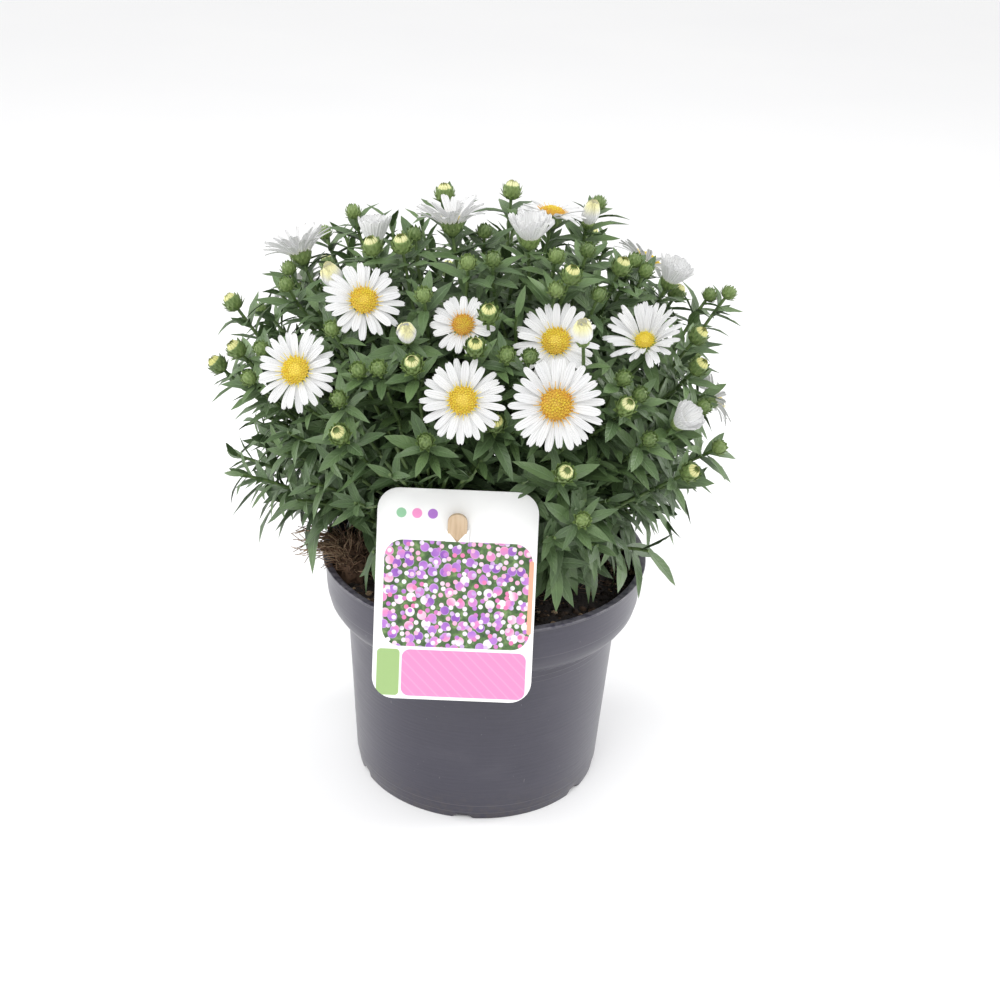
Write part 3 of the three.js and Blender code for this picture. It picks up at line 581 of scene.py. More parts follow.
# %% Mix the plant finishes
def leaf_finish():
    """Satin green, with a pale midrib and margin and fine side veins."""
    finish = Finish("leaf green")
    across, along, shade = finish.attribute("blade")
    blotches = finish.noise(160, 3)
    rib = 1 - across.size().between(0.03, 0.16)
    margin = across.size().between(0.86, 1)
    veins = ((along * 46 - across.size() * 9).math("SINE") * 0.5 + 0.5).between(0.55, 1) * (1 - rib)
    young = shade * 0.62 + blotches * 0.38
    green = finish.ramp(
        young,
        [(0.12, (0.038, 0.066, 0.030)), (0.42, (0.066, 0.114, 0.043)), (0.72, (0.112, 0.184, 0.062)),
         (1, (0.178, 0.264, 0.094))],
    )  # fmt: skip
    green = finish.mix(veins * 0.16, green, (0.10, 0.17, 0.07))
    green = finish.mix(rib * 0.5, green, (0.13, 0.22, 0.085))
    green = finish.mix(margin * 0.32, green, (0.19, 0.26, 0.14))
    rough = blotches * 0.22 + 0.38
    finish.wear(Base_Color=green, Roughness=rough)
    return finish.bump(veins * -0.3 + rib * -0.9 + blotches * 0.6, 0.0004, 0.55)


def stem_finish():
    """Streaked green, brown and woody near the soil."""
    finish = Finish("stem green", Roughness=0.55)
    streaks = finish.noise(500, 2, stretch=(1, 1, 0.12))
    bark = finish.place()
    height = finish.node("ShaderNodeSeparateXYZ", None, {0: bark}, output=2)
    green = finish.ramp(streaks, [(0.3, (0.050, 0.095, 0.024)), (0.7, (0.115, 0.175, 0.05))])
    woody = finish.mix(height.between(0.155, 0.12), green, (0.055, 0.035, 0.02))
    return finish.wear(Base_Color=woody).bump(streaks, 0.0003, 0.6)


def scale_finish():
    """Bud scales: green with a pale foot and a darker point."""
    finish = Finish("bud scale green", Roughness=0.5)
    across, along, shade = finish.attribute("blade")
    blotches = finish.noise(420, 2)
    green = finish.ramp(
        shade * 0.5 + blotches * 0.5,
        [(0.15, (0.070, 0.120, 0.032)), (0.55, (0.145, 0.220, 0.062)), (0.95, (0.26, 0.35, 0.12))],
    )
    green = finish.mix((1 - along.between(0.05, 0.6)) * 0.35, green, (0.26, 0.34, 0.12))
    green = finish.mix(along.between(0.75, 1) * 0.4, green, (0.045, 0.095, 0.025))
    edge = across.size().between(0.55, 1) * 0.5
    green = finish.mix(edge, green, (0.30, 0.40, 0.16))
    return finish.wear(Base_Color=green).bump(blotches - across.size() * 0.4, 0.0003, 0.5)


def bud_tip_finish():
    """The folded rays in an opening bud: pale yellow, greener at their foot, with painted shade along their
    edges.
    """
    finish = Finish("opening ray yellow", Roughness=0.55)
    across, along, shade = finish.attribute("blade")
    pale = finish.mix(shade, (0.66, 0.64, 0.22), (0.76, 0.76, 0.44))
    pale = finish.mix((1 - along.between(0.1, 0.6)) * 0.7, pale, (0.36, 0.42, 0.10))
    pale = finish.mix(along.between(0.85, 1) * 0.5, pale, (0.42, 0.40, 0.08))
    # Painted shade: the edges of each folded ray are darker green, so the gaps between the rays look shaded.
    pale = finish.mix(across.size().between(0.45, 1) * 0.7, pale, (0.36, 0.40, 0.10))
    groove = (across * 9).math("COSINE")
    return finish.wear(Base_Color=pale).bump(groove, 0.0002, 0.5)


def ray_finish(name="ray white", tip=0.0):
    """White rays, with a little glow for the light that shines through. Young ones have yellow tips."""
    finish = Finish(name, Roughness=0.5, Emission_Color=(1, 1, 0.98, 1), Emission_Strength=0.19)
    across, along, shade = finish.attribute("blade")
    groove = (across * 10).math("COSINE") * along.between(0, 0.2)
    cloud = finish.noise(300, 2)
    white = finish.mix(shade * 0.6 + cloud * 0.3, (0.55, 0.555, 0.565), (0.64, 0.64, 0.636))
    white = finish.mix(groove.between(0.2, 1) * 0.12, white, (0.53, 0.54, 0.57))
    white = finish.mix((1 - along.between(0.0, 0.25)) * 0.45, white, (0.55, 0.57, 0.35))
    white = finish.mix(along.between(0.5, 1) * tip, white, (0.62, 0.58, 0.13))
    return finish.wear(Base_Color=white).bump(groove + cloud * 0.4, 0.0003, 0.6)


def floret_finish():
    """Florets: yellow when young, orange to brown with age, with painted shade at their foot and in the
    throat.
    """
    finish = Finish("floret yellow", Roughness=0.6)
    _, along, shade = finish.attribute("blade")
    grain = finish.noise(1500, 1)
    fresh = finish.mix(grain, (0.78, 0.63, 0.045), (0.86, 0.79, 0.13))
    old = finish.mix(grain, (0.62, 0.29, 0.05), (0.80, 0.51, 0.12))
    colour = finish.mix(shade, fresh, old)
    # Painted shade: darker towards the foot of each floret, in its throat and on the disc core between the
    # florets.
    colour = finish.mix((1 - along.between(0.0, 0.55)) * 0.55, colour, (0.50, 0.30, 0.02))
    return finish.wear(Base_Color=colour).bump(grain, 0.0002, 0.6)


LEAF, STEM = leaf_finish(), stem_finish()
SCALE, BUD_RAY = scale_finish(), bud_tip_finish()
RAY, YOUNG_RAY, FLORET = ray_finish(), ray_finish("young ray cream", 0.8), floret_finish()
PLANT = [LEAF, STEM, SCALE, BUD_RAY]
LEAF_SLOT, STEM_SLOT, SCALE_SLOT, BUD_RAY_SLOT = range(4)
print("plant finishes:", [finish.material.name for finish in PLANT + [RAY, YOUNG_RAY, FLORET]])

# %% [markdown]
# ## Buds and bract cups
# A bud is an egg of overlapping green scales. When it is about to open, a ring of folded pale rays shows at
# its top around a green middle. A bloom sits in a shallow cup of the same scales. Both are made once, one
# unit in radius, and copied to each place with their own size and turn.

# %% Make buds and cups
def gathered(name, parts):
    """One small mesh out of placed copies, to be copied itself."""
    growth = Growth(name)
    for mesh, matrix, shade in parts:
        growth.put(mesh, matrix, shade)
    return mesh_of(growth.shape, name)


def spun(profile, steps, unit=1, layer_value=(0, 0.15, 0)):
    """A closed round shape, spun about +Z from its profile of radius and height."""
    shape, marks = marked_shape()
    points = [shape.verts.new((radius * unit, 0, height * unit)) for radius, height in profile]
    edges = [shape.edges.new(pair) for pair in zip(points, points[1:])]
    turn = {"axis": UP, "cent": (0, 0, 0), "angle": 2 * math.pi, "steps": steps}
    bmesh.ops.spin(shape, geom=points + edges, use_merge=True, **turn)
    bmesh.ops.remove_doubles(shape, verts=shape.verts, dist=1e-6)
    bmesh.ops.recalc_face_normals(shape, faces=shape.faces)
    for vert in shape.verts:
        vert[marks] = layer_value
    return shape


SCALE_BLADE = thin_blade(
    "bud scale", 3, lance(0.35, 0.24, 0.8), arched(0.1, -0.1, 0), 0.08, material=SCALE_SLOT
)  # fmt: skip
FOLDED_RAY = thin_blade(
    "folded ray", 3, lance(0.55, 0.2, 0.7), arched(0.55, -0.05, 0), 0.09, material=BUD_RAY_SLOT
)  # fmt: skip


def scale_rows(rows, draw):
    """Rows of scales on a round body: how many, at what height and radius, how steep and how long."""
    parts = []
    for row, (count, height, radius, steep, length) in enumerate(rows):
        for i in range(count):
            turn = 2 * math.pi * (i + 0.5 * (row % 2) + 0.12 * draw.random()) / count
            out = spoke(turn)
            way, inwards = raised(out, UP, math.radians(steep + 8 * (draw.random() - 0.5)))
            parts.append((SCALE_BLADE, lay(out * radius + UP * height, way, -inwards, length), draw.random()))
    return parts


OPENING_PROFILE = [(0, 0), (0.45, 0.02), (0.78, 0.35), (0.84, 0.8), (0.74, 1.3), (0.4, 1.45), (0, 1.3)]
CLOSED_PROFILE = [(0, 0), (0.42, 0.02), (0.72, 0.35), (0.8, 0.8), (0.72, 1.2), (0.42, 1.42), (0, 1.42)]
LOW_ROWS = [(7, 0.0, 0.42, 30, 0.95), (8, 0.16, 0.66, 56, 0.95), (8, 0.42, 0.8, 74, 0.92)]
OPENING_ROWS = LOW_ROWS + [(8, 0.7, 0.86, 84, 0.8)]
CLOSED_ROWS = LOW_ROWS + [(8, 0.72, 0.84, 92, 0.86), (7, 1.0, 0.72, 112, 0.8), (5, 1.2, 0.42, 128, 0.6)]
FOLDED_COUNT = 13


def core(name, profile, sides, material=SCALE_SLOT):
    """A closed round body under scales or florets."""
    return mesh_of(spun(profile, sides), name, BLADE_SHARP, material)


def bud_mesh(name, opening, draw):
    """A bud of overlapping scales. An opening one shows its folded rays at the top."""
    profile, rows = (OPENING_PROFILE, OPENING_ROWS) if opening else (CLOSED_PROFILE, CLOSED_ROWS)
    parts = [(core(name + " core", profile, 8), Matrix(), 0.1)] + scale_rows(rows, draw)
    for i in range(FOLDED_COUNT if opening else 0):
        out = spoke(2 * math.pi * (i + 0.3 * draw.random()) / FOLDED_COUNT)
        matrix = lay(out * 0.72 + UP, UP - out * 0.05, out, 0.76 + 0.1 * draw.random())
        parts.append((FOLDED_RAY, matrix, draw.random()))
    return gathered(name, parts)


bud_draw = random.Random(5)
OPENING_BUDS = [bud_mesh(f"opening bud {i}", True, bud_draw) for i in range(2)]
CLOSED_BUDS = [bud_mesh(f"closed bud {i}", False, bud_draw) for i in range(2)]
CUP_PROFILE = [(0, -1.25), (0.35, -1.2), (0.8, -0.75), (1.0, -0.05), (0.9, -0.02), (0, -0.02)]
CUP_ROWS = [(8, -1.1, 0.4, 40, 0.8), (10, -0.85, 0.72, 62, 0.85), (11, -0.6, 0.88, 74, 0.8)]
CUP_CORE = core("cup core", CUP_PROFILE, 10)
CUP = gathered("bract cup", [(CUP_CORE, Matrix(), 0.2)] + scale_rows(CUP_ROWS, bud_draw))
print("faces of a bud:", len(OPENING_BUDS[0].polygons), "and of a cup:", len(CUP.polygons))

# %% [markdown]
# ## Room to grow
# A leaf must not stand in front of a bloom, run through the pot or the soil, or hang over the label card.
# Each leaf is tried at three points along its length. It is shortened where it doesn't fit, and left out if
# that doesn't help either.

# %% Say what is in the way
POT_RIM, POT_HEIGHT = 85 * MM, 127 * MM
INNER_RIM = 79.5 * MM
SOIL_TOP = 120 * MM
CARD_LEAN = math.radians(18.5)
CARD_MIDDLE = -13.2 * MM
CARD_WIDTH, CARD_ABOVE, CARD_BELOW = 77 * MM, 69 * MM, 34 * MM
CARD_RIM = Vector((CARD_MIDDLE, -POT_RIM - 0.9 * MM, POT_HEIGHT))
CARD_UP = Vector((0, math.sin(CARD_LEAN), math.cos(CARD_LEAN)))
CARD_FRONT = Vector((0, -math.cos(CARD_LEAN), math.sin(CARD_LEAN)))
EDGE = 1.7 * MM

head_places = np.array([head["place"] for head in heads])
head_faces = np.array([head["faces"] for head in heads])
head_radii = np.array([head["size"] * (1.05 if head["kind"] == "bud" else 0.5) for head in heads])
head_fronts = np.array([{"open": 42, "cup": 20, "bud": 13}[head["kind"]] * MM for head in heads])
head_views = head_places - np.array(EYE)
head_depths = np.linalg.norm(head_views, axis=1)
head_views /= head_depths[:, None]
seen_radii = head_radii * np.array([0.92 if head["near"] else 0 for head in heads])
ROOTS_SEEN, ROOTS_RADIUS = Vector((-72, -14, 128)) * MM, 13 * MM


def hides_head(point):
    """Whether a point lies just before the face of a head, or before it on the sight line to it."""
    away = np.array(point) - head_places
    ahead = (away * head_faces).sum(1)
    aside = np.linalg.norm(away - ahead[:, None] * head_faces, axis=1)
    before = (ahead > -1.5 * MM) & (ahead < head_fronts) & (aside < head_radii + 0.8 * MM)
    sight = np.array(point - EYE)
    depth = (head_views * sight).sum(1)
    off = np.linalg.norm(sight - depth[:, None] * head_views, axis=1)
    covers = (depth < head_depths - 3 * MM) & (off < seen_radii)
    return bool((before | covers).any())


def before_card(point, slack=1.5 * MM):
    """Whether a point lies before the card and covers it in the picture, or runs into it."""
    depth = (point - EYE).dot(CARD_FRONT)
    share = (CARD_RIM - EYE).dot(CARD_FRONT) / depth
    seen = EYE + (point - EYE) * share - CARD_RIM
    is_beside = abs(seen.x) > CARD_WIDTH / 2 + slack
    is_over = -CARD_BELOW - slack < seen.dot(CARD_UP) < CARD_ABOVE + slack
    return is_over and not is_beside and (point - CARD_RIM).dot(CARD_FRONT) > -1.5 * MM


def hides_roots(point):
    """Whether a point covers the roots at the rim in the picture."""
    way = ROOTS_SEEN - EYE
    sight = point - EYE
    depth = sight.dot(way.normalized())
    return depth < way.length and (sight - way.normalized() * depth).length < ROOTS_RADIUS


grow_low, grow_high = np.array(box_low) + EDGE, np.array(box_high) - EDGE


def is_free(point):
    """Whether a point is clear of the box's edge, the pot, the soil, the card, the heads and the roots."""
    if not all(low < value < high for low, value, high in zip(grow_low, point, grow_high)):
        return False
    ring = math.hypot(point.x, point.y)
    if point.z < POT_HEIGHT + 2.5 * MM and (ring > INNER_RIM or point.z < SOIL_TOP + 1.5 * MM):
        return False
    return not (before_card(point) or hides_head(point) or hides_roots(point))


# %% [markdown]
# ## Stems and shoots
# Twelve main stems rise from the soil in three rings and lean outwards to their forks, along the same
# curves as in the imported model. A branch leaves its stem below each head and arrives along the way the head
# faces. Between them stand leafy shoots without heads, which make the crown dense.

# %% Lead the stems and shoots
STEM_RINGS = [
    # count, turn, foot radius, fork radius, fork height
    (6, 8, 23.4, 66, 176),
    (5, 18, 12.6, 43, 216),
    (1, 0, 2.7, 6, 232),
]
STEM_RADIUS, BRANCH_RADIUS = 2 * MM, 1.0 * MM
SHOOT_COUNT = 190
GOLDEN = math.radians(137.508)
draw = random.Random(2024)

main_stems = []
for count, turn, foot_radius, fork_radius, fork_height in STEM_RINGS:
    for i in range(count):
        out = spoke(math.radians(turn) + 2 * math.pi * i / count)
        foot = (out * foot_radius + UP * 96) * MM
        fork = (out * fork_radius + UP * fork_height) * MM
        low, high = foot + (UP * 40 + out * 3) * MM, fork - (UP * 16 + out * 10) * MM
        main_stems.append(geometry.interpolate_bezier(foot, low, high, fork, 16))


def led(start, end, arrive):
    """A curved path that leaves its start upwards and arrives at its end along a direction."""
    reach = (end - start).length * 0.35
    leave = ((end - start).normalized() - UP * 0.15) * reach
    return geometry.interpolate_bezier(start, start + leave, end - arrive * reach, end, 12)


def over_card(path):
    """A path led up behind the card instead of through it."""
    result = []
    for place in path:
        before = (place - CARD_RIM).dot(CARD_FRONT)
        high = (place - CARD_RIM).dot(CARD_UP)
        is_near = abs(place.x - CARD_MIDDLE) < CARD_WIDTH / 2 + 3 * MM and high < CARD_ABOVE + 5 * MM
        result.append(place - CARD_FRONT * (before + 4 * MM) if is_near and before > -4 * MM else place)
    return result


def cut_back(path):
    """The part of a shoot before it runs into something."""
    for i, place in enumerate(path):
        if i > 3 and not is_free(place):
            return path[: i - 1]
    return path


def start_on(stem, end):
    """The place on a main stem from which a shoot rises to its end."""
    wanted = end.z - 0.45 * math.hypot(end.x - stem[-1].x, end.y - stem[-1].y) - 18 * MM
    return min(stem[6:], key=lambda place: abs(place.z - wanted))


paths = [[] for _ in main_stems]
for head in heads:
    drop = 0 if head["kind"] == "bud" else head["cup"] * 1.2
    foot = head["place"] - head["faces"] * drop
    way_up = over_card(led(start_on(main_stems[head["stem"]], foot), foot, head["faces"]))
    paths[head["stem"]].append((way_up, head))
for i in range(SHOOT_COUNT):
    height = -0.44 + 1.36 * (i + 0.5) / SHOOT_COUNT
    way = spoke(i * GOLDEN, math.sqrt(1 - height * height), height)
    end = in_crown(way * (0.76 + 0.2 * draw.random()))
    if not is_free(end):
        continue
    number = min(range(STEM_COUNT), key=lambda n: min((place - end).length for place in main_stems[n][8:]))
    arrive = (outwards(end) + UP * 0.5).normalized()
    way_up = over_card(led(start_on(main_stems[number], end), end, arrive))
    paths[number].append((cut_back(way_up), None))
print("branches and shoots on each stem:", [len(carried) for carried in paths])

# %% [markdown]
# ## Leafy stems
# A stem is a thin tube that narrows upwards. Its leaves stand in a spiral by the golden angle, small near
# the head and larger below, and the lowest are the broad ones that hang over the soil. Small bract leaves
# stand close below each head.

# %% Grow the leafy stems
SPINE = (0.3, 0.65, 1.0)
SHORTER = (1, 0.78, 0.6)
ROSETTE = 15


def tube(path, low_radius, top_radius, material=STEM_SLOT):
    """A tube along a path, narrowing to its end."""
    curve = bpy.data.curves.new("path", "CURVE")
    curve.dimensions = "3D"
    curve.bevel_depth = 1
    curve.bevel_resolution = 1
    curve.use_fill_caps = True
    line = curve.splines.new("POLY")
    line.points.add(len(path) - 1)
    for i, (point, place) in enumerate(zip(line.points, path)):
        point.co = (*place, 1)
        point.radius = low_radius + (top_radius - low_radius) * i / (len(path) - 1)
    holder = bpy.data.objects.new("path", curve)
    mesh = bpy.data.meshes.new_from_object(holder)
    bpy.data.objects.remove(holder)
    bpy.data.curves.remove(curve)
    mesh.attributes.new("blade", "FLOAT_VECTOR", "POINT")
    for polygon in mesh.polygons:
        polygon.material_index = material
        polygon.use_smooth = len(polygon.vertices) == 4
    return mesh


def on_path(path, share):
    """The place at a share of a path, and the way it runs there."""
    spot = max(0.0, min(0.9999, share)) * (len(path) - 1)
    step = path[int(spot) + 1] - path[int(spot)]
    return path[int(spot)] + step * (spot - int(spot)), step.normalized()


def set_leaf(growth, shapes, root, way, up, length, shade, width=1.0):
    """Adds a leaf, shortened until it is clear of everything. Says whether it fitted."""
    shape = shapes[draw.randrange(len(shapes))]
    spine = spines[shape.name]
    for shorter in SHORTER:
        matrix = lay(root, way, up, length * shorter, width)
        if all(is_free(matrix @ point) for point in spine):
            growth.put(shape, matrix, shade)
            return True
    return False


def spine_of(mesh):
    """Three points along the middle of a blade."""
    middle = [vert.co for vert in mesh.vertices if abs(vert.co.x) < 1e-6]
    return [min(middle, key=lambda co: abs(co.y - along)).copy() for along in SPINE]


spines = {shape.name: spine_of(shape) for shape in [*UPPER_LEAVES, *LOWER_LEAVES, BRACT]}


def smooth_step(value):
    """0 up to 0, 1 from 1 on, and a smooth rise between them."""
    value = max(0.0, min(1.0, value))
    return value * value * (3 - 2 * value)


def grow_leaves(growth, path, nearest, spacing):
    """Leaves in a spiral down a path. Nearest is how far below its end they start."""
    run = sum((b - a).length for a, b in zip(path, path[1:]))
    turn = draw.random() * 2 * math.pi
    below = nearest
    count = 0
    while below < run * 0.93:
        root, way = on_path(path, 1 - below / run)
        turn += GOLDEN + 0.3 * (draw.random() - 0.5)
        out = square_to(way, turn)
        deep = smooth_step(below / (60 * MM))
        low = smooth_step((178 * MM - root.z) / (35 * MM))
        length = (14 + 13 * deep + 14 * low) * (0.82 + 0.36 * draw.random()) * MM
        rise = math.radians(48 - 26 * deep - 14 * low + 18 * (draw.random() - 0.5))
        leaf_way, leaf_up = raised(out, way, rise)
        leaf_way = (leaf_way - UP * (0.15 + 0.5 * low)).normalized()
        leaf_up = leaf_up + UP * (0.2 + 0.8 * low)
        shapes = LOWER_LEAVES if length > 31 * MM else UPPER_LEAVES
        crown_share = smooth_step((root.z - 150 * MM) / (130 * MM))
        shade = 0.12 + 0.5 * draw.random() + 0.34 * crown_share * (1 - deep)
        count += set_leaf(growth, shapes, root, leaf_way, leaf_up, length, shade)
        below += spacing * (0.8 + 0.5 * deep + 0.5 * low)
    return count


def grow_bracts(growth, head):
    """A rosette of leaves close below a head, the smallest next to it."""
    count = 0
    back = head["cup"] * 1.3 if head["kind"] != "bud" else 0.5 * MM
    for i in range(ROSETTE):
        share = i / ROSETTE
        root = head["place"] - head["faces"] * (back + 11 * share * share * MM)
        out = square_to(head["faces"], i * GOLDEN + head["place"].x * 900)
        rise = math.radians(52 - 34 * share + 22 * (draw.random() - 0.5))
        way, up = raised(out, head["faces"], rise)
        length = (7 + 13 * share + 4 * draw.random()) * MM
        shapes = [BRACT] if share < 0.4 else UPPER_LEAVES
        count += set_leaf(growth, shapes, root, way, up, length, 0.3 + 0.5 * draw.random(), 1.1)
    return count


def on_card(x, high, before):
    """A place over the card, in millimetres from the middle of its rim line."""
    return CARD_RIM + (Vector((x, 0, 0)) + CARD_UP * high + CARD_FRONT * before) * MM


blooms = [head for head in heads if head["kind"] != "bud"]
OVER_CARD_BLOOM = 4


def leafy_stem(number):
    """One stem with all that grows on it. One of them hangs a leaf over the corner of the card."""
    growth = Growth(f"leafy_stem_{number + 1}_foliage")
    stem = main_stems[number]
    growth.put(tube(stem, STEM_RADIUS, STEM_RADIUS * 0.7))
    leaves = grow_leaves(growth, stem[3:], 12 * MM, 5.5 * MM)
    for path, head in paths[number]:
        growth.put(tube(path, BRANCH_RADIUS * 1.15, BRANCH_RADIUS * 0.8))
        leaves += grow_leaves(growth, path, (11 if head else 0.5) * MM, (4.2 if head else 3.4) * MM)
        if not head:
            continue
        leaves += grow_bracts(growth, head)
        matrix = stood(head["place"], head["faces"]) @ Matrix.Rotation(draw.random() * 6, 4, "Z")
        if head["kind"] == "bud":
            kinds = OPENING_BUDS if head["size"] > 5 * MM else CLOSED_BUDS
            size = Matrix.Diagonal((head["size"] * 0.97, head["size"] * 0.97, head["size"], 1))
            growth.put(kinds[draw.randrange(2)], matrix @ size, draw.random())
        else:
            growth.put(CUP, matrix @ Matrix.Scale(head["cup"], 4), draw.random())
    if number == blooms[OVER_CARD_BLOOM]["stem"]:
        root, tip = on_card(40, 78, -1), on_card(20, 63.5, 3)
        growth.put(UPPER_LEAVES[1], lay(root, tip - root, CARD_FRONT, (tip - root).length), 0.5)
    piece = growth.piece(PLANT, "green_growth", f"leafy_stem_{number + 1}")
    return leaves, sum(len(polygon.vertices) - 2 for polygon in piece.data.polygons)


grown = [leafy_stem(number) for number in range(STEM_COUNT)]
print("leaves:", sum(leaves for leaves, _ in grown), "triangles:", [triangles for _, triangles in grown])

# %% [markdown]
# ## Blooms
# An open bloom has 19 to 45 rays in two or three layers, with rounded and slightly notched ends. No two lie
# quite alike, so each gets its own length, rise and twist. In a half-open bloom they stand in a cup, and in
# one that just opens they curve inwards and keep their yellow tips.

# %% Set the rays
def strap(half, foot, end, broadest=0.62):
    """An outline that widens from its foot to a rounded end with some width left."""

    def half_width(t):
        if t < broadest:
            return half * (foot + (1 - foot) * math.sin(t / broadest * math.pi / 2))
        past = (t - broadest) / (1 - broadest)
        return half * (end + (1 - end) * math.sqrt(max(0.0, 1 - past**2.6)))

    return half_width


def curled(droop, channel, arch=0.07):
    """A lift that arches along a ray, droops at its tip and hollows it across."""

    def lift(across, along):
        return arch * math.sin(math.pi * along) - droop * along * along + channel * across * across

    return lift


OPEN_RAYS = [
    thin_blade(f"ray {i}", 7, strap(0.115, 0.5, end), curled(droop, channel), 0.022, notch=notch, crowd=1.5)
    for i, (droop, channel, end, notch) in enumerate(
        [
            (0.02, 0.03, 0.36, 0.045),
            (0.12, -0.035, 0.3, 0.02),
            (0.2, 0.02, 0.42, 0.06),
            (-0.06, 0.045, 0.26, 0.0),
        ]
    )
]
CUPPED_RAYS = [
    thin_blade(f"cupped ray {i}", 5, strap(0.17, 0.62, 0.4), curled(droop, 0.04, 0.02), 0.03, 0.03, crowd=1.4)
    for i, droop in enumerate((-0.08, -0.18))
]
FOLDED_RAYS = [
    thin_blade(f"folding ray {i}", 6, strap(0.17, 0.6, 0.3), curled(droop, 0.04, -0.13), 0.03, crowd=1.3)
    for i, droop in enumerate((-0.22, -0.3))
]
HUB_SHARE, CUPPED_HUB_SHARE = 0.15, 0.17
LAYER_STEP = 7
JUST_OPEN = 70


def steepness(head):
    """How much steeper the rays stand than the head's own rise, where it is seen from the side."""
    if 10 < head["rise"] < 20:
        return 2.2
    return 1.5 if head["rise"] > 20 and head["kind"] == "open" else 1


def bloom_rays(number, head):
    """The rays of one bloom, in layers, each with its own length, rise and twist."""
    growth = Growth(f"bloom_{number:02d}_ray_flowers")
    is_open, is_young = head["kind"] == "open", head["rise"] > JUST_OPEN
    shapes = OPEN_RAYS if is_open else FOLDED_RAYS if is_young else CUPPED_RAYS
    hub = head["size"] * (HUB_SHARE if is_open else CUPPED_HUB_SHARE)
    count = head["rays"]
    layers = 3 if count > 28 else 2
    pitch = 2 * math.pi / count
    start = draw.random() * pitch
    for i in range(count):
        layer = i % layers
        turn = start + pitch * (i + 0.35 * (draw.random() - 0.5))
        out = square_to(head["faces"], turn)
        steep = head["rise"] * steepness(head) + LAYER_STEP * layer
        rise = math.radians(steep + 7 * (draw.random() - 0.5))
        reach = min((head["size"] / 2 - hub) / max(0.25, math.cos(rise)), (16 if is_open else 12) * MM)
        length = reach * (1 - 0.07 * layer) * (0.93 + 0.1 * draw.random())
        root = head["place"] + out * (hub - 0.4 * MM * layer) + head["faces"] * (0.45 * layer - 0.25) * MM
        way, up = raised(out, head["faces"], rise)
        up = Matrix.Rotation(math.radians((16 if is_open else 5) * (draw.random() - 0.5)), 3, way) @ up
        wide = 3 * MM
        if is_open:
            wide = max(2.9 * MM, pitch * head["size"] * (0.36 if head["rise"] < 10 else 0.44))
        width = wide / (0.23 * length) * (0.88 + 0.24 * draw.random())
        growth.put(shapes[draw.randrange(len(shapes))], lay(root, way, up, length, width), draw.random())
    growth.piece([YOUNG_RAY if is_young else RAY], "white_rays", f"bloom_{number:02d}_rays")
    return count


print("rays:", sum(bloom_rays(number, head) for number, head in enumerate(blooms, 1)))

# %% [markdown]
# ## Discs of florets
# The disc is a low dome packed with about 120 florets along golden-angle spirals. The outer ones are open
# tubes and the inner ones still buds. A fringe of fine yellow threads stands out over the foot of the rays.

# %% Pack the discs
def floret_mesh(name, top, throat):
    """A five-sided tube one unit high, with an open throat if it has one."""
    shape, marks = marked_shape()
    bmesh.ops.create_cone(shape, cap_ends=True, segments=5, radius1=0.3, radius2=top, depth=1)
    bmesh.ops.translate(shape, verts=shape.verts, vec=(0, 0, 0.5))
    if throat:
        lid = [face for face in shape.faces if face.calc_center_median().z > 0.9]
        bmesh.ops.inset_region(shape, faces=lid, thickness=top * 0.38, depth=-throat)
    for vert in shape.verts:
        # Throat points get the low mark 0.2 along, so the floret finish paints shade into the throat.
        is_throat = vert.co.z > 0.3 and math.hypot(vert.co.x, vert.co.y) < top * 0.75
        vert[marks] = (0, 0.2 if throat and is_throat else vert.co.z, 0)
    return mesh_of(shape, name)


OPEN_FLORET = floret_mesh("open floret", 0.52, 0.3)
BUD_FLORET = floret_mesh("bud floret", 0.3, 0)
THREAD = floret_mesh("thread", 0.16, 0)
DISC_PROFILE = [(0, 0), (0.92, 0), (0.96, 0.12), (0.75, 0.3), (0.4, 0.4), (0, 0.42)]
# The core keeps the low mark 0.15 along from its spin, so the floret finish paints it in shade between the
# florets.
DISC_CORE = core("disc core", DISC_PROFILE, 12, material=0)
DISC_SHARE, SIDE_ON_SHARE = 0.165, 0.12
FLORET_WIDTH, THREAD_WIDTH = 0.15, 0.12
FLORETS, THREADS = 120, 24


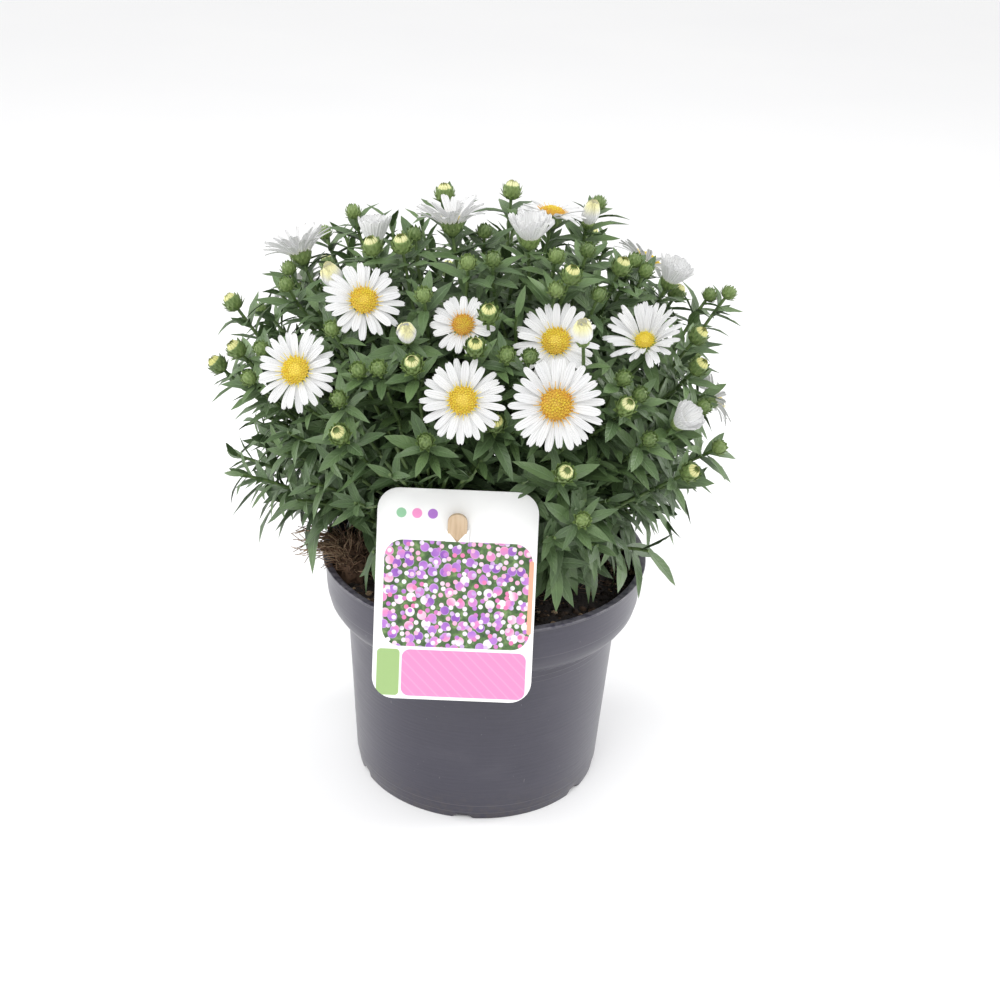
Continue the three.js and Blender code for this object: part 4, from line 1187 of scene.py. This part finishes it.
def bloom_disc(number, head):
    """The disc of one bloom: a core, florets on golden-angle spirals, and a fringe of threads."""
    growth = Growth(f"bloom_{number:02d}_florets")
    radius = head["size"] * (DISC_SHARE if head["rise"] < 10 else SIDE_ON_SHARE)
    faces = head["faces"]
    seat = head["place"] + faces * 1.1 * MM
    growth.put(DISC_CORE, stood(seat, faces) @ Matrix.Scale(radius, 4), min(1, head["age"]))
    for i in range(FLORETS):
        share = math.sqrt((i + 0.5) / FLORETS)
        out = square_to(faces, i * GOLDEN)
        height = radius * (0.34 * (1 - share * share) + 0.05)
        root = seat + out * radius * share * 0.97 + faces * height
        is_bud = share < 0.5 - 0.45 * head["age"]
        tall = (1 if is_bud else 1.4) * (0.8 + 0.4 * draw.random())
        tilt = (faces + out * (0.1 + 0.45 * share * share)).normalized()
        matrix = lay(root, square_to(tilt, i), tilt, radius * FLORET_WIDTH) @ Matrix.Diagonal((1, 1, tall, 1))
        shade = max(0, min(1, head["age"] * (0.1 + 1.1 * share * share) + 0.6 * (draw.random() - 0.5)))
        growth.put(BUD_FLORET if is_bud else OPEN_FLORET, matrix, shade)
    for i in range(THREADS):
        out = square_to(faces, i * 2 * math.pi / THREADS + 0.1 * draw.random())
        root = seat + out * radius * (0.9 + 0.08 * draw.random()) + faces * 0.1 * radius
        way = (out * (0.8 + 0.5 * draw.random()) + faces * 0.75).normalized()
        matrix = lay(root, square_to(way, 0), way, radius * THREAD_WIDTH)
        long = 2.2 + 3.4 * draw.random()
        growth.put(THREAD, matrix @ Matrix.Diagonal((1, 1, long, 1)), min(1, head["age"] * 1.2))
    growth.piece([FLORET], "yellow_florets", f"bloom_{number:02d}_disc")


open_blooms = [(number, head) for number, head in enumerate(blooms, 1) if head["kind"] == "open"]
for number, head in open_blooms:
    bloom_disc(number, head)
print("discs:", len(open_blooms), "with", FLORETS, "florets and", THREADS, "threads each")

# %% [markdown]
# ## The pot
# The pot is moulded from dark plastic: a deep collar under a rolled rim, a step below it, and a tapered
# body on a low notched foot. One profile, its corners rounded by small arcs, is spun about the axis, and
# the foot's notches are raised out of the base. Faint mould rings, smudges and scuffs are left to the
# finish, with painted highlights along the mould lines and the rim.

# %% Spin the pot
POT_PROFILE = [
    (0, 0), (58, 0), (62.5, 0), (65, 0), (66, 6), (66.3, 7), (71.5, 93), (73.4, 94.2), (78.5, 98), (81, 102),
    (82.3, 107), (82.8, 112), (83.4, 125.0), (85, 125.6), (85, 127), (81.4, 127), (81.2, 126.4), (80.9, 112),
    (80.2, 106), (76.9, 99.4), (70, 92.4), (64.5, 1.8), (0, 1.8),
]  # fmt: skip
POT_STEPS = 144
ROUNDED = {(65, 0): 0.3, (66, 6): 0.25, (71.5, 93): 0.8, (85, 125.6): 0.35, (85, 127): 0.45, (81.4, 127): 0.4}
NOTCHES, NOTCH_TURN, NOTCH_WIDTH, NOTCH_HEIGHT = 6, 25, 8, 2.4
FOOT_RADIUS, FOOT_INSIDE = 66, 63


def rounded_profile(points, radii):
    """The points of a profile with its named corners cut by small arcs."""
    result = []
    for i, point in enumerate(points):
        radius = radii.get(point)
        if not radius:
            result.append(Vector(point))
            continue
        here = Vector(point)
        back = (Vector(points[i - 1]) - here).normalized() * radius
        on = (Vector(points[i + 1]) - here).normalized() * radius
        for t in (0, 0.33, 0.67, 1):
            result.append(here + back * (1 - t) ** 2 + on * t * t)
    return result


def cut_notches(shape):
    """Raises the edge of the base at each notch."""
    half = math.degrees(NOTCH_WIDTH / 2 / FOOT_RADIUS) + 0.3
    pitch = 360 / NOTCHES
    for vert in shape.verts:
        ring = math.hypot(vert.co.x, vert.co.y) / MM
        if vert.co.z > 0.5 * MM or ring < FOOT_INSIDE:
            continue
        turn = math.degrees(math.atan2(vert.co.y, vert.co.x)) - NOTCH_TURN
        if abs((turn + pitch / 2) % pitch - pitch / 2) < half:
            vert.co.z += NOTCH_HEIGHT * MM


# level, half width; each mould line is a ridge, and it is painted lighter as a painted highlight
MOULD_AND_HIGHLIGHT_LINES = [(124.6, 0.5), (108.5, 0.35), (90, 0.45), (86.8, 0.35), (9, 0.4), (4, 0.35)]


def pot_finish():
    """Dark blue-grey plastic with mould rings, dusty smudges and pale scuffs, with painted highlights along
    the mould lines and the rim.
    """
    finish = Finish("pot plastic", Coat_Weight=0.35, Coat_Roughness=0.32)
    smudge = finish.noise(22, 4, stretch=(1, 1, 2.2))
    fine = finish.noise(320, 3)
    drawn = finish.noise(60, 3, stretch=(1, 1, 14))
    height = finish.node("ShaderNodeSeparateXYZ", None, {0: finish.place()}, output=2)
    scratches = finish.noise(520, 2, stretch=(1, 1, 0.5)).between(0.72, 0.80)
    dust = smudge.between(0.5, 0.78)
    grey = finish.mix(drawn * 0.6 + fine * 0.4, (0.019, 0.017, 0.034), (0.036, 0.033, 0.056))
    grey = finish.mix(dust * 0.26, grey, (0.095, 0.090, 0.112))
    grey = finish.mix(scratches * 0.5, grey, (0.17, 0.17, 0.18))
    grime = (1 - height.between(0, 0.022)) * fine.between(0.4, 0.7)
    grey = finish.mix(grime * 0.5, grey, (0.060, 0.050, 0.042))
    # Painted highlight: a lighter band along the top of the rim, broken by fine noise.
    rim_painted_highlight = height.between(0.1254, 0.1268) * fine.between(0.3, 0.6)
    grey = finish.mix(rim_painted_highlight * 0.5, grey, (0.19, 0.185, 0.20))
    rings = (height * 2600).math("SINE") * 0.5 + 0.5
    # Mould lines: each is a ridge in the bump and a painted highlight, a lighter grey along the ridge.
    lines = 0
    for level, width in MOULD_AND_HIGHLIGHT_LINES:
        lines = (height - level * MM).size().between(width * MM, 0.3 * width * MM) + lines
    grey = finish.mix(lines * 0.28, grey, (0.13, 0.125, 0.145))
    finish.wear(Base_Color=grey, Roughness=drawn * 0.10 + dust * 0.12 + 0.33)
    return finish.bump(rings * 0.10 + fine * 0.16 + drawn * 0.9 + lines * 1.5, 0.0004, 0.35)


pot_shape = spun(rounded_profile(POT_PROFILE, ROUNDED), POT_STEPS, MM)
cut_notches(pot_shape)
set_piece(mesh_of(pot_shape, "nursery_pot", 40), [pot_finish()], "pot_plastic", "pot")
print("pot corners in its profile:", len(POT_PROFILE))

# %% [markdown]
# ## Soil and roots
# The pot holds dark peat with crumbs, beige chips and fine fibres, a little below the rim. At the left a
# brown mass of dry roots stands up to the rim, and some root threads reach past it. Crumbs and fibres are
# real shapes, so the soil looks rough from every side.

# %% Fill the pot
SOIL_PROFILE = [
    (0, 2.1), (64.2, 2.1), (69.7, 92.1), (76.4, 99.8), (80.1, 111), (80.1, 114), (76, 116), (70, 117),
    (64, 117.4), (56, 118.2), (48, 118.6), (40, 119), (32, 119.4), (24, 119.8), (16, 120), (8, 120), (0, 120),
]  # fmt: skip
CRUMBS, FIBRES, TUFT_FIBRES, OVER_RIM = 2200, 190, 520, 64
TUFT_MIDDLE = Vector((-67, -14, 122)) * MM
BED_EDGE = 113 * MM
INNER_WALL = 78 * MM


def peat_finish():
    """Dark peat where the marks say 0 across, and crumbs and chips of each shade where they say 1."""
    finish = Finish("dark peat", Roughness=0.92)
    is_crumb, _, shade = finish.attribute("blade")
    grain = finish.noise(900, 3)
    clods = finish.noise(150, 3)
    dark = finish.ramp(
        grain * 0.6 + clods * 0.4,
        [(0.3, (0.012, 0.010, 0.010)), (0.55, (0.028, 0.022, 0.019)), (0.8, (0.070, 0.050, 0.038))],
    )
    chips = finish.ramp(
        shade,
        [(0, (0.010, 0.007, 0.005)), (0.62, (0.035, 0.022, 0.014)), (0.86, (0.10, 0.062, 0.036)),
         (0.97, (0.36, 0.26, 0.16))],
    )  # fmt: skip
    colour = finish.mix(is_crumb, dark, chips)
    return finish.wear(Base_Color=colour).bump(grain + clods, 0.0010, 0.9)


def root_finish():
    """Dry brown roots, each with its own shade."""
    finish = Finish("dry root brown", Roughness=0.8)
    shade = finish.attribute("blade")[2]
    grain = finish.noise(1200, 2)
    tone = finish.ramp(
        shade * 0.7 + grain * 0.3,
        [(0.1, (0.050, 0.028, 0.018)), (0.5, (0.18, 0.105, 0.062)), (0.9, (0.47, 0.34, 0.22))],
    )
    return finish.wear(Base_Color=tone).bump(grain, 0.0003, 0.7)


PEAT, ROOT = peat_finish(), root_finish()
ROOT_SLOT = 1
soil_draw = random.Random(77)


def soil_height(x, y):
    """How far the peat's lumps lift it at a place."""
    lumps = noise.noise(Vector((x, y, 0)) * 70) * 2.2 + noise.noise(Vector((x, y, 0.5)) * 210) * 1.1
    return lumps * MM


def on_soil(ring, turn, low=0.0):
    """A place on the domed top of the peat, or so many millimetres off it."""
    place = spoke(turn, ring)
    place.z = (120 + low - 4 * (ring / (80 * MM)) ** 2) * MM + soil_height(place.x, place.y)
    return place


def soil_bed():
    """The block of peat that fills the pot, with a lumpy top."""
    shape = spun(SOIL_PROFILE, 72, MM, (0, 0, 0))
    top = [edge for edge in shape.edges if min(vert.co.z for vert in edge.verts) > BED_EDGE]
    bmesh.ops.subdivide_edges(shape, edges=top, cuts=1, use_grid_fill=True)
    for vert in shape.verts:
        if vert.co.z > BED_EDGE:
            vert.co.z += soil_height(vert.co.x, vert.co.y)
    return mesh_of(shape, "soil bed", 90)


def crumb_mesh(name, seed):
    """A crumb of peat, one unit in radius."""
    shape, marks = marked_shape()
    bmesh.ops.create_icosphere(shape, subdivisions=1, radius=1)
    for vert in shape.verts:
        vert.co *= 0.75 + 0.5 * abs(noise.noise(vert.co * 1.7 + Vector((seed, 0, 0))))
        vert[marks] = (1, 0, 0)
    return mesh_of(shape, name, 60)


def fibre(start, way, length, sag, radius):
    """A thin bent thread."""
    side = square_to(way.normalized(), soil_draw.random() * 6)
    path = []
    for t in (0, 0.2, 0.4, 0.6, 0.8, 1):
        bend = side * math.sin(t * math.pi * (0.7 + 0.6 * soil_draw.random())) * length * 0.16
        path.append(start + way * length * t + bend - UP * sag * length * t * t)
    return tube(path, radius, radius * 0.5, ROOT_SLOT)


def random_turn():
    """A crumb's turn, about two axes."""
    tipped = Matrix.Rotation(soil_draw.random() * 6.3, 4, "X")
    return tipped @ Matrix.Rotation(soil_draw.random() * 6.3, 4, "Z")


def grow_soil():
    """The bed of peat, with crumbs and fibres strewn over it."""
    growth = Growth("peat_and_roots")
    growth.put(soil_bed())
    crumbs = [crumb_mesh(f"crumb {i}", i * 3.1) for i in range(4)]
    for i in range(CRUMBS):
        ring, turn = 78.5 * MM * math.sqrt(soil_draw.random()), soil_draw.random() * 2 * math.pi
        size = (0.7 + 2.1 * soil_draw.random() ** 2.2) * MM
        place = Matrix.Translation(on_soil(ring, turn, -0.1)) @ random_turn()
        flat = Matrix.Diagonal((size * 1.3, size, size * 0.7, 1))
        growth.put(crumbs[i % 4], place @ flat, soil_draw.random() ** 0.85)
    for _ in range(FIBRES):
        start = on_soil(74 * MM * math.sqrt(soil_draw.random()), soil_draw.random() * 2 * math.pi, 0.4)
        way = Vector((soil_draw.random() - 0.5, soil_draw.random() - 0.5, 0.05)).normalized()
        if (start + way * 9 * MM).xy.length > INNER_WALL:
            way = -way
        thread = fibre(start, way, (5 + 9 * soil_draw.random()) * MM, 0.1, 0.2 * MM)
        growth.put(thread, shade=soil_draw.random())
    return growth


def root_lump():
    """The rough middle of the mass of roots."""
    lump, _ = marked_shape()
    bmesh.ops.create_icosphere(lump, subdivisions=3, radius=1)
    for vert in lump.verts:
        rough = 1 + 0.35 * noise.noise(vert.co * 2.3) + 0.2 * noise.noise(vert.co * 6)
        vert.co = Vector((vert.co.x * 9.5, vert.co.y * 15, vert.co.z * 11)) * rough * MM + TUFT_MIDDLE
    return mesh_of(lump, "root lump", 80, ROOT_SLOT)


def grow_tuft(growth):
    """The mass of dry roots at the left of the rim."""
    growth.put(root_lump(), shade=0.3)
    for _ in range(TUFT_FIBRES):
        turn = soil_draw.random() * 2 * math.pi
        tilt = 0.15 + 1.3 * soil_draw.random()
        out = spoke(turn, math.cos(tilt), math.sin(tilt))
        start = TUFT_MIDDLE + Vector((out.x * 8.5, out.y * 12.5, out.z * 9)) * MM
        stray = Vector((soil_draw.random() - 0.5, soil_draw.random() - 0.5, soil_draw.random() * 0.7))
        way = (out * 0.6 + stray).normalized()
        length = (5 + 11 * soil_draw.random() ** 2) * MM
        end = start + way * length
        if end.z < POT_HEIGHT + 1.5 * MM and end.xy.length > INNER_WALL:
            continue
        growth.put(fibre(start, way, length, 0.15, 0.36 * MM), shade=soil_draw.random())
    for _ in range(OVER_RIM):
        turn = math.radians(150 + 80 * soil_draw.random())
        way = spoke(turn, rise=0.35 + 0.4 * soil_draw.random()).normalized()
        start = TUFT_MIDDLE + Vector((-4, 14 * (soil_draw.random() - 0.5), 8)) * MM
        thread = fibre(start, way, (14 + 20 * soil_draw.random()) * MM, 0.28, 0.40 * MM)
        growth.put(thread, shade=0.4 + 0.6 * soil_draw.random())


soil = grow_soil()
grow_tuft(soil)
soil_piece = soil.piece([PEAT, ROOT], "peat", "soil")
print("soil faces:", len(soil_piece.data.polygons))

# %% [markdown]
# ## The label card
# The card is a thin white plastic sheet with rounded corners that leans over the rim. It has a slit for its
# stake and a small tongue bent out below it. The sheet is filled between its outline and the slit and given
# its thickness. Its print is a plain design of dots and bands in garden colours, without words.

# %% Cut the card
CARD_CORNER, CARD_THICKNESS = 10.5, 0.8
SLIT = [(-5.4, 49.4), (-5.4, 40.6), (0, 37.2), (5.4, 40.6), (5.4, 49.4)]
FLAP_FOOT, FLAP_POINT, FLAP_TOP, FLAP_HALF = 36.4, 43.6, 50.6, 5.7
FLAP_THICKNESS = 0.5


def card_outline(steps=8):
    """The card's outline in millimetres from the middle of its rim line."""
    points = []
    right, top = CARD_WIDTH / 2 / MM - CARD_CORNER, CARD_ABOVE / MM - CARD_CORNER
    bottom = CARD_CORNER - CARD_BELOW / MM
    for x, y, start in ((right, bottom, -90), (right, top, 0), (-right, top, 90), (-right, bottom, 180)):
        for i in range(steps + 1):
            turn = math.radians(start + 90 * i / steps)
            points.append((x + CARD_CORNER * math.cos(turn), y + CARD_CORNER * math.sin(turn)))
    return points


def loop_of(shape, points):
    """A closed loop of edges through flat points in millimetres."""
    verts = [shape.verts.new((x * MM, y * MM, 0)) for x, y in points]
    return [shape.edges.new(pair) for pair in zip(verts, verts[1:] + verts[:1])]


def thicken(shape, faces, depth):
    """Draws flat faces along Z by a depth in millimetres."""
    sheet = bmesh.ops.extrude_face_region(shape, geom=faces)
    drawn = [item for item in sheet["geom"] if isinstance(item, bmesh.types.BMVert)]
    bmesh.ops.translate(shape, verts=drawn, vec=(0, 0, depth * MM))
    bmesh.ops.recalc_face_normals(shape, faces=shape.faces)


def add_flap(shape):
    """The part of the card below its V-shaped cut, which the stake bends outwards."""
    flap = bmesh.ops.create_grid(shape, x_segments=6, y_segments=4, size=1)["verts"]
    for vert in flap:
        x, t = vert.co.x, (vert.co.y + 1) / 2
        top = FLAP_POINT + (FLAP_TOP - FLAP_POINT) * abs(x)
        h = FLAP_FOOT + (top - FLAP_FOOT) * t
        vert.co = Vector((x * FLAP_HALF, h, 0.1 + 2.3 * ((h - FLAP_FOOT) / (FLAP_TOP - FLAP_FOOT)) ** 2)) * MM
    thicken(shape, list({face for vert in flap for face in vert.link_faces}), FLAP_THICKNESS)


def label_card():
    """The card with its slit and tongue, marked with places on the sheet in mm and with the side."""
    shape, marks = marked_shape("print")
    edges = loop_of(shape, card_outline()) + loop_of(shape, SLIT)
    bmesh.ops.triangle_fill(shape, edges=edges, use_beauty=True, use_dissolve=False, normal=UP)
    bmesh.ops.translate(shape, verts=shape.verts, vec=(0, 0, CARD_THICKNESS / 2 * MM))
    thicken(shape, shape.faces[:], -CARD_THICKNESS)
    add_flap(shape)
    for vert in shape.verts:
        side = 1 if vert.co.z > 0 else -1
        vert[marks] = (vert.co.x / MM, vert.co.y / MM, side)
    turned = Matrix((Vector((1, 0, 0)), CARD_UP, CARD_FRONT)).transposed().to_4x4()
    bmesh.ops.transform(shape, matrix=Matrix.Translation(CARD_RIM) @ turned, verts=shape.verts)
    return mesh_of(shape, "printed_card", 30)


VIOLET_TONES = [
    (0.2, (0.27, 0.09, 0.46)),
    (0.45, (0.47, 0.20, 0.63)),
    (0.62, (0.80, 0.26, 0.50)),
    (0.8, (0.85, 0.83, 0.85)),
]
PINK_TONES = [
    (0.2, (0.86, 0.42, 0.62)),
    (0.45, (0.85, 0.84, 0.86)),
    (0.62, (0.45, 0.18, 0.60)),
    (0.8, (0.78, 0.20, 0.42)),
]
DOT_TONES = [(0.30, 0.58, 0.36), (0.90, 0.30, 0.60), (0.42, 0.17, 0.60)]


def card_finish():
    """White plastic, printed on its front with dots and bands."""
    finish = Finish("printed card", Roughness=0.32)
    x, h, side = finish.attribute("print")
    printed = finish.node("ShaderNodeAttribute", {"attribute_name": "print"}, output="Vector")

    def panel(middle, half, corner):
        """1 inside a rounded panel of the card, in millimetres."""
        out_x = ((x - middle[0]).size() - (half[0] - corner)).math("MAXIMUM", 0)
        out_h = ((h - middle[1]).size() - (half[1] - corner)).math("MAXIMUM", 0)
        return ((out_x * out_x + out_h * out_h) ** 0.5 - corner).between(0.12, -0.12)

    colour = finish.mix(finish.noise(9, 2) * 0.5, (0.95, 0.95, 0.95), (0.99, 0.99, 0.98))
    band = panel((5.5, -21), (30, 11.5), 4)
    leafy = panel((-31, -21), (5.5, 11.5), 2)
    meadow = panel((1, 18), (35.5, 26), 9)
    sliver = panel((36.2, 18), (1.1, 18), 1)
    ground = finish.ramp(
        finish.noise(0.35, 3, vector=printed),
        [(0.3, (0.030, 0.075, 0.025)), (0.55, (0.085, 0.165, 0.055)), (0.75, (0.22, 0.34, 0.13))],
    )
    colour = finish.mix(meadow, colour, ground)
    flat = {"voronoi_dimensions": "2D", "feature": "F1"}
    for scale, size, tones in ((0.165, 0.40, VIOLET_TONES), (0.27, 0.33, PINK_TONES)):
        spread = {"Vector": printed, "Scale": scale, "Randomness": 0.8}
        cells = finish.node("ShaderNodeTexVoronoi", flat, spread)
        pick = finish.node("ShaderNodeSeparateColor", None, {0: cells.out("Color")})
        zone = finish.noise(0.045, 1, vector=printed).between(0.3, 0.7)
        tint = finish.ramp(pick * 0.55 + zone * 0.45, tones)
        tint = finish.mix(cells.between(0.30, 0.36) * 0.35, tint, (0.88, 0.80, 0.90))
        colour = finish.mix(cells.between(size, size - 0.06) * meadow, colour, tint)
    colour = finish.mix(band, colour, (0.86, 0.27, 0.52))
    stripes = ((x + h) * 1.1).math("SINE").between(0.75, 0.95)
    colour = finish.mix(band * stripes * 0.25, colour, (0.90, 0.50, 0.68))
    colour = finish.mix(leafy, colour, (0.34, 0.50, 0.20))
    colour = finish.mix(sliver, colour, (0.90, 0.42, 0.28))
    for i, tone in enumerate(DOT_TONES):
        colour = finish.mix(panel((-27 + 7.5 * i, 57), (2.4, 2.4), 2.39), colour, tone)
    colour = finish.mix(side.between(0, 0.5), (0.84, 0.84, 0.84), colour)
    smear = finish.noise(35, 3)
    return finish.wear(Base_Color=colour, Roughness=smear * 0.2 + 0.24).bump(smear, 0.0003, 0.25)


card_mesh = label_card()
set_piece(card_mesh, [card_finish()], "card_plastic", "label_card")
print("card faces:", len(card_mesh.polygons))

# %% [markdown]
# ## The stake
# The stake is a flat stick of pale wood with a rounded top. Its outline is filled and extruded, its long
# edges are bevelled, and the grain runs along it.

# %% Cut the stake
STAKE_WIDTH, STAKE_THICKNESS, STAKE_POINT = 9.4, 1.6, 6
STAKE_FOOT, STAKE_TOP, FOOT_REACH, TOP_REACH = 76, 184, 65.5, 72.6
ARC_STEPS = 14


def label_stake():
    """The flat stick, pointed below and round above, leaning with its top towards the front."""
    length = math.hypot(STAKE_TOP - STAKE_FOOT, TOP_REACH - FOOT_REACH)
    half = STAKE_WIDTH / 2
    turns = [math.pi * i / ARC_STEPS for i in range(ARC_STEPS + 1)]
    arc = [(half * math.cos(turn), length - half + half * math.sin(turn)) for turn in turns]
    shape = bmesh.new()
    edges = loop_of(shape, [(-half, STAKE_POINT), (0, 0), (half, STAKE_POINT)] + arc)
    bmesh.ops.contextual_create(shape, geom=edges)
    thicken(shape, shape.faces[:], STAKE_THICKNESS)
    bmesh.ops.translate(shape, verts=shape.verts, vec=(0, 0, -STAKE_THICKNESS / 2 * MM))
    rims = [edge for edge in shape.edges if abs(edge.verts[0].co.z - edge.verts[1].co.z) < 1e-6]
    bmesh.ops.bevel(shape, geom=rims, offset=0.25 * MM, segments=2, profile=0.5, affect="EDGES", material=-1)
    lean = math.atan2(TOP_REACH - FOOT_REACH, STAKE_TOP - STAKE_FOOT)
    upright = Matrix.Rotation(math.pi / 2 + lean, 4, "X")
    place = Matrix.Translation((CARD_MIDDLE, -FOOT_REACH * MM, STAKE_FOOT * MM))
    bmesh.ops.transform(shape, matrix=place @ upright, verts=shape.verts)
    return mesh_of(shape, "wooden_stake", 40)


def wood_finish():
    """Pale wood with its grain along the stick."""
    finish = Finish("pale wood", Roughness=0.7)
    grain = finish.noise(420, 4, stretch=(1, 1, 0.06))
    cloud = finish.noise(60, 2)
    tone = finish.ramp(
        grain * 0.75 + cloud * 0.25,
        [(0.3, (0.36, 0.24, 0.14)), (0.5, (0.58, 0.43, 0.28)), (0.7, (0.70, 0.56, 0.40))],
    )
    return finish.wear(Base_Color=tone).bump(grain, 0.0003, 0.6)


stake_mesh = label_stake()
set_piece(stake_mesh, [wood_finish()], "wood", "label_stake")
print("stake faces:", len(stake_mesh.polygons))

# %% [markdown]
# ## Floor
# The pot stands on a plain pale floor, which is only a stage.

# %% Lay the floor and finish
FLOOR_REACH = 6.0
floor_shape = bmesh.new()
bmesh.ops.create_grid(floor_shape, x_segments=8, y_segments=8, size=FLOOR_REACH)
floor_finish = Finish("pale floor", Roughness=0.6)
soft = floor_finish.noise(3, 2)
floor_finish.wear(Base_Color=floor_finish.mix(soft, (0.86, 0.86, 0.87), (0.90, 0.90, 0.90)))
floor = in_scene(mesh_of(floor_shape, "floor"), [floor_finish])
